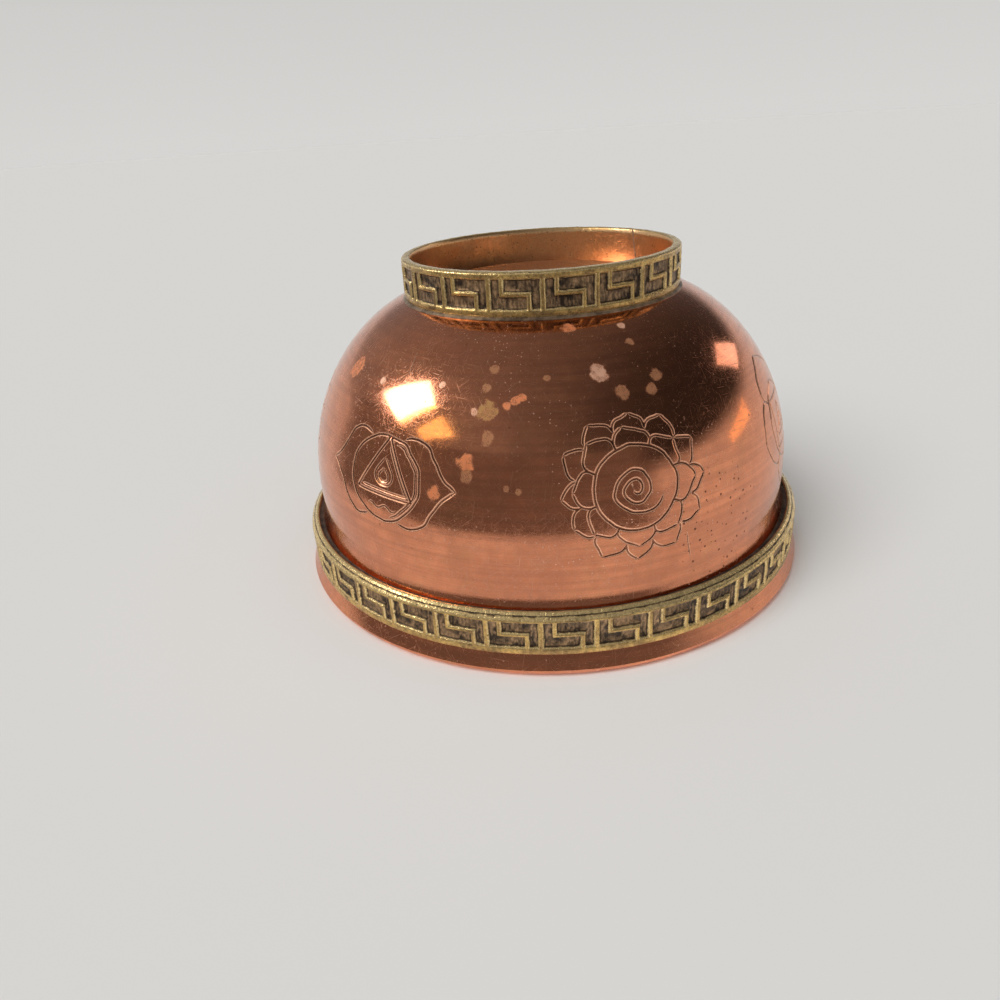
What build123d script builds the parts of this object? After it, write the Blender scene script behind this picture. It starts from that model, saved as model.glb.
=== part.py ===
from build123d import *
import os
from math import acos, cos, degrees, pi, radians, sin

# A copper offering bowl, upright on its foot ring at Z = 0, with its mouth at the top.
# Brass strip stamped with a key fret is bent into the foot ring and the rim band, and soldered on.

# Bowl, spun from copper sheet
overall_diameter = 76.0
overall_height = 44.4
copper_wall = 1.0
base_clearance = 4.2
base_flat_diameter = 24.0
belly_inset = 3.0
belly_height = 30.4
neck_inset = 3.2
neck_height = 36.0
lip_height = 2.8
lip_thickness = 1.9
lip_root_inset = 0.35

# Brass strip, the same stock on the foot and at the rim
strip_thickness = 1.2
strip_edge_round = 0.25
fret_pitch = 6.7
fret_height = 3.55
fret_depth = 0.45
fret_bar_width = 0.65
fret_ridge_width = 0.55
fret_step_share = 0.25

# Rim band
lip_overhang = 0.65
rim_band_height = 5.7
rim_band_bevel_height = 0.8
rim_band_bevel_depth = 0.85
rim_seat_height = 1.0
rim_fret_margin = 1.0
rim_fret_start_angle = -87.8
rim_seam_angle = 90.0

# Foot ring
foot_ring_diameter = 38.6
foot_fret_margin = 0.9
foot_fret_start_angle = -90.6
foot_seam_angle = 142.5

# Solder
seam_width = 0.25
rim_solder_height = 4.2
foot_solder_leg = 0.5

# Places that follow from the sizes above
lip_radius = overall_diameter / 2
base_flat_radius = base_flat_diameter / 2
belly_radius = lip_radius - belly_inset
neck_radius = lip_radius - neck_inset
shoulder_z = overall_height - lip_height
lip_round = lip_thickness / 2
lip_centre = (lip_radius - lip_round, overall_height - lip_round)

rim_band_radius = lip_radius - lip_overhang
rim_seat_radius = rim_band_radius - strip_thickness
rim_seat_z = shoulder_z - rim_seat_height
rim_band_bottom_z = shoulder_z - rim_band_height
rim_fret_centre_z = shoulder_z - rim_fret_margin - fret_height / 2
rim_fret_units = round(2 * pi * rim_band_radius / fret_pitch)

foot_ring_radius = foot_ring_diameter / 2
foot_ring_bore_radius = foot_ring_radius - strip_thickness
foot_fret_centre_z = foot_fret_margin + fret_height / 2
foot_fret_units = round(2 * pi * foot_ring_radius / fret_pitch)


def draw_body(offset, start_angle=270, arc_size=90):
    """Draw the elliptical side of the bowl, or a stretch of it, offset inwards from its outer face."""
    return EllipticalCenterArc(
        (base_flat_radius, belly_height),
        x_radius=belly_radius - base_flat_radius - offset,
        y_radius=belly_height - base_clearance - offset,
        start_angle=start_angle,
        arc_size=arc_size,
    )


def body_angle(radius):
    """Angle on the outer face's ellipse at a radius between the flat base and the belly."""
    return 360 - degrees(acos((radius - base_flat_radius) / (belly_radius - base_flat_radius)))


def draw_side(offset):
    """Draw one face of the bowl's wall, from the axis up to its neck, offset inwards from its outer face."""
    body = draw_body(offset)
    base = Line((0, base_clearance + offset), body @ 0)
    neck = TangentArc(body @ 1, (neck_radius - offset, neck_height), tangent=(0, 1))
    return base, neck


def draw_strip_section(bore_radius, bottom_z, top_z, bevel_depth, bevel_height):
    """Draw a strip's section, with its lower outer corner bevelled."""
    outer_radius = bore_radius + strip_thickness
    Polyline(
        (bore_radius, bottom_z),
        (outer_radius - bevel_depth, bottom_z),
        (outer_radius, bottom_z + bevel_height),
        (outer_radius, top_z),
        (bore_radius, top_z),
        close=True,
    )


def fret_channel_span(radius, units):
    """Left end, inner corner and right end of a fret channel, along the strip from the middle of its bar."""
    unit_length = 2 * pi * radius / units
    left = fret_bar_width / 2
    corner = fret_step_share * unit_length - fret_ridge_width / 2
    right = (1 - fret_step_share) * unit_length - fret_ridge_width / 2
    return left, corner, right


def fret_planes(radius, units, start_angle, centre_z):
    """Planes on a strip's outer face, two to each fret unit, the second one upside down to the first."""
    unit_angle = 360 / units
    left, _, right = fret_channel_span(radius, units)
    middle_angle = degrees((left + right) / 2 / radius)
    planes = []
    for unit in range(units):
        for turn, share in ((1, middle_angle), (-1, unit_angle - middle_angle)):
            angle = radians(start_angle + unit * unit_angle + share)
            planes.append(
                Plane(
                    origin=(radius * cos(angle), radius * sin(angle), centre_z),
                    x_dir=(-turn * sin(angle), turn * cos(angle), 0),
                    z_dir=(cos(angle), sin(angle), 0),
                )
            )
    return planes


def draw_fret_channel(radius, units):
    """Draw one sunk channel of the fret: down beside a bar, then along under the ridge at mid height."""
    left, corner, right = fret_channel_span(radius, units)
    middle = (left + right) / 2
    Polyline(
        (left - middle, fret_height / 2),
        (left - middle, -fret_height / 2),
        (right - middle, -fret_height / 2),
        (right - middle, -fret_ridge_width / 2),
        (corner - middle, -fret_ridge_width / 2),
        (corner - middle, fret_height / 2),
        close=True,
    )


def seam_block(radius, angle, mode):
    """A thin block through a strip at its butt seam."""
    reach = 2 * strip_thickness
    with Locations(Location((0, 0, 0), (0, 0, angle))):
        with Locations((radius, 0, 0)):
            Box(2 * reach, seam_width, 2 * overall_height, mode=mode)


os.makedirs("parts", exist_ok=True)

# Space inside the bowl's outer face, up to the lip's shoulder, that trims what is soldered on
with BuildPart() as copper_envelope:
    with BuildSketch(Plane.XZ):
        with BuildLine():
            envelope_base, envelope_neck = draw_side(0)
            envelope_flare = TangentArc(
                envelope_neck @ 1, (rim_seat_radius, rim_seat_z), tangent=envelope_neck % 1
            )
            Polyline(envelope_flare @ 1, (rim_seat_radius, shoulder_z), (0, shoulder_z), envelope_base @ 0)
        make_face()
    revolve(axis=Axis.Z)

# Bowl: flat base, rounded body, drawn-in neck, and a flared lip with a half-round edge
with BuildPart() as bowl:
    with BuildSketch(Plane.XZ):
        with BuildLine():
            outer_base, outer_neck = draw_side(0)
            outer_flare = TangentArc(outer_neck @ 1, (rim_seat_radius, rim_seat_z), tangent=outer_neck % 1)
            lip_flank = Polyline(
                outer_flare @ 1,
                (rim_seat_radius, shoulder_z),
                (rim_band_radius - lip_root_inset, shoulder_z),
                (lip_radius, lip_centre[1]),
            )
            inner_base, inner_neck = draw_side(copper_wall)
            lip_inner = (lip_radius - lip_thickness, lip_centre[1])
            inner_flare = TangentArc(inner_neck @ 1, lip_inner, tangent=inner_neck % 1)
            ThreePointArc(lip_flank @ 1, (lip_centre[0], overall_height), inner_flare @ 1)
            Line(inner_base @ 0, outer_base @ 0)
        make_face()
    revolve(axis=Axis.Z)
bowl.part.label = "bowl"
export_step(bowl.part, "parts/bowl.step")

# Rim band: fret strip on the seat under the lip, its free edge standing off the neck
with BuildPart() as rim_band:
    with BuildSketch(Plane.XZ):
        with BuildLine():
            draw_strip_section(
                rim_seat_radius, rim_band_bottom_z, shoulder_z, rim_band_bevel_depth, rim_band_bevel_height
            )
        make_face()
    revolve(axis=Axis.Z)
    with BuildSketch(
        *fret_planes(rim_band_radius, rim_fret_units, rim_fret_start_angle, rim_fret_centre_z)
    ):
        with BuildLine():
            draw_fret_channel(rim_band_radius, rim_fret_units)
        make_face()
    extrude(amount=fret_depth, both=True, mode=Mode.SUBTRACT)
    seam_block(rim_band_radius, rim_seam_angle, Mode.SUBTRACT)
rim_band.part.label = "rim_band"
export_step(rim_band.part, "parts/rim_band.step")

# Solder in the rim band's butt seam
with BuildPart() as rim_band_seam_solder:
    with BuildSketch(Plane.XZ):
        with BuildLine():
            draw_strip_section(
                rim_seat_radius, rim_band_bottom_z, shoulder_z, rim_band_bevel_depth, rim_band_bevel_height
            )
        make_face()
    revolve(axis=Axis.Z)
    seam_block(rim_band_radius, rim_seam_angle, Mode.INTERSECT)
rim_band_seam_solder.part.label = "rim_band_seam_solder"
export_step(rim_band_seam_solder.part, "parts/rim_band_seam_solder.step")

# Solder run into the wedge between the flared neck and the rim band, cut back to the bowl's outer face
with BuildPart() as rim_band_solder:
    with BuildSketch(Plane.XZ):
        with BuildLine():
            Polyline(
                (neck_radius - copper_wall, rim_seat_z - rim_solder_height),
                (rim_seat_radius, rim_seat_z - rim_solder_height),
                (rim_seat_radius, rim_seat_z),
                (neck_radius - copper_wall, rim_seat_z),
                close=True,
            )
        make_face()
    revolve(axis=Axis.Z)
    add(copper_envelope.part, mode=Mode.SUBTRACT)
rim_band_solder.part.label = "rim_band_solder"
export_step(rim_band_solder.part, "parts/rim_band_solder.step")

# Foot ring: the same strip, bent tighter and coped to the bowl's underside
with BuildPart() as foot_ring:
    with BuildSketch(Plane.XZ):
        with BuildLine():
            draw_strip_section(
                foot_ring_bore_radius, 0, belly_height, strip_edge_round, strip_edge_round
            )
        make_face()
    revolve(axis=Axis.Z)
    add(copper_envelope.part, mode=Mode.SUBTRACT)
    with BuildSketch(
        *fret_planes(foot_ring_radius, foot_fret_units, foot_fret_start_angle, foot_fret_centre_z)
    ):
        with BuildLine():
            draw_fret_channel(foot_ring_radius, foot_fret_units)
        make_face()
    extrude(amount=fret_depth, both=True, mode=Mode.SUBTRACT)
    seam_block(foot_ring_radius, foot_seam_angle, Mode.SUBTRACT)
foot_ring.part.label = "foot_ring"
export_step(foot_ring.part, "parts/foot_ring.step")

# Solder in the foot ring's butt seam
with BuildPart() as foot_ring_seam_solder:
    with BuildSketch(Plane.XZ):
        with BuildLine():
            draw_strip_section(
                foot_ring_bore_radius, 0, belly_height, strip_edge_round, strip_edge_round
            )
        make_face()
    revolve(axis=Axis.Z)
    add(copper_envelope.part, mode=Mode.SUBTRACT)
    seam_block(foot_ring_radius, foot_seam_angle, Mode.INTERSECT)
foot_ring_seam_solder.part.label = "foot_ring_seam_solder"
export_step(foot_ring_seam_solder.part, "parts/foot_ring_seam_solder.step")

# Solder fillet round the outside of the foot ring, in the corner between the ring and the bowl
with BuildPart() as foot_ring_solder:
    fillet_start = body_angle(foot_ring_radius)
    fillet_end = body_angle(foot_ring_radius + foot_solder_leg)
    with BuildSketch(Plane.XZ):
        with BuildLine():
            fillet_seat = draw_body(0, fillet_start, fillet_end - fillet_start)
            ring_side = Line(fillet_seat @ 0, fillet_seat @ 0 - Vector(0, foot_solder_leg))
            Line(ring_side @ 1, fillet_seat @ 1)
        make_face()
    revolve(axis=Axis.Z)
foot_ring_solder.part.label = "foot_ring_solder"
export_step(foot_ring_solder.part, "parts/foot_ring_solder.step")
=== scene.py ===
"""An offering bowl: an engraved copper shell with brass strip soldered round its rim and its foot.

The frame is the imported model's own: the bowl stands upright on its foot ring, and its photographed
side faces -Y. Sizes are millimetres, and meshes are scaled to metres as they are made.
"""

import logging
from dataclasses import dataclass, field, replace
from enum import Enum
from math import atan2, ceil, cos, hypot, pi, radians, sin, tau
from typing import Any, Callable, Iterable, Sequence

import bpy
import numpy as np
from mathutils import Matrix, Vector, kdtree, noise
from mathutils.geometry import delaunay_2d_cdt


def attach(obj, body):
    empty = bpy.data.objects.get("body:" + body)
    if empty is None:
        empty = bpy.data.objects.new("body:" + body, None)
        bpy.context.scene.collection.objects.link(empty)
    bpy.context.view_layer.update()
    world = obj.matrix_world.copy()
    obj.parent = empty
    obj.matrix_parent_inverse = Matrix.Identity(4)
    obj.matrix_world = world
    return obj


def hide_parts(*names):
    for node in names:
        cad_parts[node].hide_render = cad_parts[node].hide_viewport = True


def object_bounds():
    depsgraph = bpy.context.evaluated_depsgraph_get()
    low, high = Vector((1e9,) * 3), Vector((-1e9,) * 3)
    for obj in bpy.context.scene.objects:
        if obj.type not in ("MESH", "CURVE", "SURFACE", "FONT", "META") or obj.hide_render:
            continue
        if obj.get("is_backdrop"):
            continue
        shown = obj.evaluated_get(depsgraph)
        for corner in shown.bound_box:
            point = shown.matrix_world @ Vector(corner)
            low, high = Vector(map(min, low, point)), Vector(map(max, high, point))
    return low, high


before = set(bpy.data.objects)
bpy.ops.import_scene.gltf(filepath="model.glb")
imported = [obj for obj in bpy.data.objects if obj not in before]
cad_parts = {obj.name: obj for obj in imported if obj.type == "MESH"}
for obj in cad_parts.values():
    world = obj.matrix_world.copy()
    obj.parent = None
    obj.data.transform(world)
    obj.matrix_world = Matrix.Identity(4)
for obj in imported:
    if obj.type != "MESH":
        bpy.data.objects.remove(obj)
cad_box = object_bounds()

MM = 0.001
TINY = 1e-9
NEAR = 1e-3
BODY = "root"
NOISE_SEED = 7
TURNED_MAP = "turned"
CARD_MAP = "card"
GROOVE = "groove"
RELIEF = "relief"

Point = tuple[float, float]
Colour = tuple[float, float, float]
Socket = bpy.types.NodeSocket

log = logging.getLogger("offering_bowl")


class Slot(Enum):
    """Material slots of the record."""

    COPPER = "copper"
    BRASS = "brass"
    SOLDER = "solder"


class Figure(Enum):
    """What is engraved inside a lotus."""

    DROP = "drop in a triangle"
    CURL = "curl"
    SQUARE = "square"
    CRESCENT = "crescent"
    TRIANGLE = "triangle"
    STAR = "star"
    DISC = "disc"


class Tone(Enum):
    """Colours of the stains on the copper."""

    ORANGE = (0.80, 0.25, 0.09)
    TAN = (0.34, 0.165, 0.07)
    PALE = (0.80, 0.48, 0.33)
    OLIVE = (0.36, 0.22, 0.06)


# Node trees


class Sketch:
    """A node tree under construction, with short ways to add and join its nodes."""

    def __init__(self, tree: bpy.types.NodeTree) -> None:
        """Take an empty tree.

        Args:
            tree: The tree that the nodes go into.
        """
        self.tree = tree

    def fill(self, socket: Socket, value: Any) -> None:
        """Join a socket to another, or set its value.

        Args:
            socket: An input of a node.
            value: The socket that feeds it, or a plain value.
        """
        if isinstance(value, Socket):
            self.tree.links.new(value, socket)
        else:
            socket.default_value = value

    def node(self, kind: str, inputs: dict[Any, Any] | None = None, **settings: Any) -> bpy.types.Node:
        """Add a node.

        Args:
            kind: Blender's name for the node's type.
            inputs: Values or sockets for the node's inputs, by name or number.
            **settings: Properties of the node.

        Returns:
            The new node.
        """
        made = self.tree.nodes.new(kind)
        for name, value in settings.items():
            setattr(made, name, value)
        for key, value in (inputs or {}).items():
            self.fill(made.inputs[key], value)
        return made

    def math(self, operation: str, *values: Any, clamp: bool = False) -> Socket:
        """Add a Math node.

        Args:
            operation: The node's operation.
            *values: Numbers or sockets, in order.
            clamp: Whether the result is kept between 0 and 1.

        Returns:
            The result's socket.
        """
        inputs = dict(enumerate(values))
        return self.node("ShaderNodeMath", inputs, operation=operation, use_clamp=clamp).outputs[0]

    def times(self, first: Any, second: Any) -> Socket:
        """Multiply two values."""
        return self.math("MULTIPLY", first, second)

    def rest(self, value: Any) -> Socket:
        """What is left of 1 after a value."""
        return self.math("SUBTRACT", 1.0, value)

    def most(self, first: Any, second: Any) -> Socket:
        """The larger of two values."""
        return self.math("MAXIMUM", first, second)

    def add_shares(self, base: Any, *shares: tuple[Any, float]) -> Any:
        """Add shares of several masks to a value, one after another.

        Args:
            base: The value to start from.
            *shares: Each mask, and how much of it to add.

        Returns:
            The total's socket.
        """
        for mask, amount in shares:
            base = self.math("MULTIPLY_ADD", mask, amount, base)
        return base

    def vector(self, operation: str, *values: Any) -> bpy.types.Node:
        """Add a Vector Math node and return it, since its result depends on the operation."""
        return self.node("ShaderNodeVectorMath", dict(enumerate(values)), operation=operation)

    def stretched(self, where: Socket, factors: tuple[float, float, float]) -> Socket:
        """Multiply coordinates by a factor for each axis."""
        return self.vector("MULTIPLY", where, factors).outputs["Vector"]

    def ramp(self, value: Socket, low: float, high: float) -> Socket:
        """Map a value smoothly from 0 at low to 1 at high.

        Args:
            value: The socket to map.
            low: Value that gives 0.
            high: Value that gives 1.

        Returns:
            The mapped value's socket.
        """
        inputs = {"Value": value, "From Min": low, "From Max": high}
        return self.node("ShaderNodeMapRange", inputs, interpolation_type="SMOOTHSTEP").outputs["Result"]

    def noise(self, where: Socket, scale: Any = 1.0, detail: float = 3.0, distortion: float = 0.0) -> Socket:
        """Add a noise texture and return its value's socket."""
        inputs = {"Vector": where, "Scale": scale, "Detail": detail, "Distortion": distortion}
        return self.node("ShaderNodeTexNoise", inputs).outputs["Fac"]

    def blend(self, share: Any, first: Any, second: Any) -> Socket:
        """Mix two colours.

        Args:
            share: How much of the second colour shows.
            first: First colour, or its socket.
            second: Second colour, or its socket.

        Returns:
            The mixed colour's socket.
        """
        made = self.node("ShaderNodeMix", data_type="RGBA")
        values = {"Factor_Float": share, "A_Color": first, "B_Color": second}
        for socket in made.inputs:
            if socket.identifier in values:
                value = values[socket.identifier]
                self.fill(socket, (*value, 1.0) if isinstance(value, tuple) else value)
        return next(s for s in made.outputs if s.identifier == "Result_Color")

    def lay(self, colour: Any, *layers: tuple[Any, float, Colour]) -> Socket:
        """Lay colours over a colour, one after another.

        Args:
            colour: The colour to start from, or its socket.
            *layers: Each layer's mask, its strength and its colour.

        Returns:
            The covered colour's socket.
        """
        for mask, strength, over in layers:
            colour = self.blend(self.times(mask, strength), colour, over)
        return colour


def titled(values: dict[str, Any]) -> dict[str, Any]:
    """Turn the names of arguments into the names of sockets."""
    return {key.replace("_", " ").title(): value for key, value in values.items()}


class Effect:
    """A shader node group that several finishes share, built when it is first used."""

    name: str
    inputs: tuple[tuple[str, str, float], ...]

    def build(self, sketch: Sketch, given: bpy.types.bpy_prop_collection) -> Socket:
        """Draw the effect's nodes.

        Args:
            sketch: The group's tree.
            given: The sockets of the group's inputs, by name.

        Returns:
            The socket of the mask that the group puts out.
        """
        raise NotImplementedError

    def tree(self) -> bpy.types.NodeTree:
        """Build the group's tree the first time.

        Returns:
            The tree.
        """
        made = bpy.data.node_groups.get(self.name)
        if made:
            return made
        made = bpy.data.node_groups.new(self.name, "ShaderNodeTree")
        made.interface.new_socket("Vector", in_out="INPUT", socket_type="NodeSocketVector")
        for label, kind, value in self.inputs:
            socket = made.interface.new_socket(label, in_out="INPUT", socket_type=kind)
            if kind == "NodeSocketFloat":
                socket.default_value = value
        made.interface.new_socket("Mask", in_out="OUTPUT", socket_type="NodeSocketFloat")
        sketch = Sketch(made)
        given = sketch.node("NodeGroupInput").outputs
        sketch.node("NodeGroupOutput", {"Mask": self.build(sketch, given)})
        return made

    def place(self, sketch: Sketch, **inputs: Any) -> Socket:
        """Place the group in a material.

        Args:
            sketch: The material's tree.
            **inputs: Values or sockets for the group's inputs.

        Returns:
            The mask's socket.
        """
        return sketch.node("ShaderNodeGroup", titled(inputs), node_tree=self.tree()).outputs["Mask"]


class Scratches(Effect):
    """Fine straight scratches in several directions, as handling and polishing leave them."""

    name = "scratches"
    inputs = (("Length", "NodeSocketFloat", 6.0), ("Density", "NodeSocketFloat", 0.5))
    directions = (0.12, 0.9, 1.7, 2.5)
    lines_per_mm = 7.5
    sparse_gate = 0.78
    gate_drop = 0.28
    sharpness = 8.0

    def build(self, sketch: Sketch, given: bpy.types.bpy_prop_collection) -> Socket:
        """Stretch noise along each direction, keep its peaks, and take the strongest.

        Args:
            sketch: The group's tree.
            given: The sockets of the group's inputs, by name.

        Returns:
            The mask's socket.
        """
        along = sketch.math("DIVIDE", 1.0, given["Length"])
        gate = sketch.math("SUBTRACT", self.sparse_gate, sketch.times(given["Density"], self.gate_drop))
        stretch = sketch.node("ShaderNodeCombineXYZ", {"X": along, "Y": self.lines_per_mm, "Z": 1.0})
        total: Socket | None = None
        for turn in self.directions:
            turned = sketch.node(
                "ShaderNodeVectorRotate",
                {"Vector": given["Vector"], "Angle": turn},
                rotation_type="Z_AXIS",
            )
            lines = sketch.vector("MULTIPLY", turned.outputs["Vector"], stretch.outputs[0])
            peaks = sketch.noise(lines.outputs["Vector"], detail=1.0)
            over = sketch.math("MULTIPLY", sketch.math("SUBTRACT", peaks, gate), self.sharpness, clamp=True)
            total = over if total is None else sketch.most(total, over)
        return total


class Mottle(Effect):
    """Uneven tarnish: large soft patches broken up by smaller ones."""

    name = "mottle"
    inputs = (("Patch", "NodeSocketFloat", 8.0), ("Cover", "NodeSocketFloat", 0.5))
    finer = 5.3
    large_share = 0.65
    small_share = 0.35

    def build(self, sketch: Sketch, given: bpy.types.bpy_prop_collection) -> Socket:
        """Lay noise at two sizes together and threshold it softly at the cover asked for.

        Args:
            sketch: The group's tree.
            given: The sockets of the group's inputs, by name.

        Returns:
            The mask's socket.
        """
        scale = sketch.math("DIVIDE", 1.0, given["Patch"])
        large = sketch.noise(given["Vector"], scale, detail=5.0, distortion=0.4)
        small = sketch.noise(given["Vector"], sketch.times(scale, self.finer), detail=4.0)
        both = sketch.math(
            "ADD", sketch.times(large, self.large_share), sketch.times(small, self.small_share)
        )
        shifted = sketch.math("ADD", both, sketch.math("SUBTRACT", given["Cover"], 0.5))
        return sketch.ramp(shifted, low=0.36, high=0.64)


class Pits(Effect):
    """Small dots of corrosion or grit, scattered over a piece's own map."""

    name = "pits"
    inputs = (("Spacing", "NodeSocketFloat", 1.5), ("Size", "NodeSocketFloat", 0.16))
    bare_cells = 0.35
    sharpness = 14.0

    def build(self, sketch: Sketch, given: bpy.types.bpy_prop_collection) -> Socket:
        """Keep the middles of some Voronoi cells, at uneven sizes.

        Args:
            sketch: The group's tree.
            given: The sockets of the group's inputs, by name.

        Returns:
            The mask's socket.
        """
        scale = sketch.math("DIVIDE", 1.0, given["Spacing"])
        cells = sketch.node(
            "ShaderNodeTexVoronoi", {"Vector": given["Vector"], "Scale": scale}, voronoi_dimensions="2D"
        )
        pick = sketch.node("ShaderNodeSeparateColor", {"Color": cells.outputs["Color"]}).outputs["Red"]
        reach = sketch.times(given["Size"], sketch.math("SUBTRACT", pick, self.bare_cells))
        inside = sketch.math("SUBTRACT", reach, cells.outputs["Distance"])
        return sketch.math("MULTIPLY", inside, self.sharpness, clamp=True)


class Spot(Effect):
    """One ragged stain at a given place."""

    name = "spot"
    inputs = (
        ("Centre", "NodeSocketVector", 0.0),
        ("Radius", "NodeSocketFloat", 0.6),
        ("Pull", "NodeSocketFloat", 0.0),
    )

    def build(self, sketch: Sketch, given: bpy.types.bpy_prop_collection) -> Socket:
        """Measure the distance to the centre, with the edge pulled about.

        Args:
            sketch: The group's tree.
            given: The sockets of the group's inputs, by name.

        Returns:
            The mask's socket.
        """
        away = sketch.vector("DISTANCE", given["Vector"], given["Centre"]).outputs["Value"]
        pulled = sketch.math("ADD", sketch.math("DIVIDE", away, given["Radius"]), given["Pull"])
        return sketch.rest(sketch.ramp(pulled, low=0.7, high=1.05))


SCRATCHES = Scratches()
MOTTLE = Mottle()
PITS = Pits()
SPOT = Spot()


# Finishes


def new_material(name: str) -> tuple[bpy.types.Material, Sketch]:
    """Make a material with no nodes yet.

    Args:
        name: Its name.

    Returns:
        The material, and the sketch that its nodes go into.
    """
    made = bpy.data.materials.new(name)
    made.use_nodes = True
    made.node_tree.nodes.clear()
    return made, Sketch(made.node_tree)


@dataclass(frozen=True)
class Skin:
    """What the nodes of a finish put out."""

    colour: Socket
    roughness: Socket
    height: Socket
    metallic: Socket | float = 1.0


@dataclass(frozen=True)
class Finish:
    """What every metal finish shares."""

    name: str
    bump_depth: float

    def shader(self, sketch: Sketch) -> Skin:
        """Draw the finish's nodes.

        Args:
            sketch: The material's tree.

        Returns:
            The sockets that the nodes put out.
        """
        raise NotImplementedError

    def material(self) -> bpy.types.Material:
        """Build the finish as a material.

        Returns:
            The material.
        """
        made, sketch = new_material(self.name)
        skin = self.shader(sketch)
        bump = sketch.node(
            "ShaderNodeBump", {"Height": skin.height, "Distance": self.bump_depth * MM, "Strength": 1.0}
        )
        metal = sketch.node(
            "ShaderNodeBsdfPrincipled",
            {
                "Base Color": skin.colour,
                "Roughness": skin.roughness,
                "Metallic": skin.metallic,
                "Normal": bump.outputs["Normal"],
            },
        )
        sketch.node("ShaderNodeOutputMaterial", {"Surface": metal.outputs["BSDF"]})
        return made

    @staticmethod
    def place_in_mm(sketch: Sketch) -> Socket:
        """Object coordinates in millimetres."""
        place = sketch.node("ShaderNodeTexCoord").outputs["Object"]
        return sketch.node("ShaderNodeMapping", {"Vector": place, "Scale": (1 / MM,) * 3}).outputs["Vector"]

    @staticmethod
    def surface_in_mm(sketch: Sketch) -> Socket:
        """The piece's own map: millimetres round the piece and along its section."""
        return sketch.node("ShaderNodeUVMap", uv_map=TURNED_MAP).outputs["UV"]

    @staticmethod
    def attribute(sketch: Sketch, name: str) -> Socket:
        """A value that is stored on the mesh."""
        return sketch.node("ShaderNodeAttribute", attribute_name=name).outputs["Fac"]


@dataclass(frozen=True)
class Stain:
    """A ragged stain at one place on the copper."""

    centre: Vector
    radius: float
    tone: Tone


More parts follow.
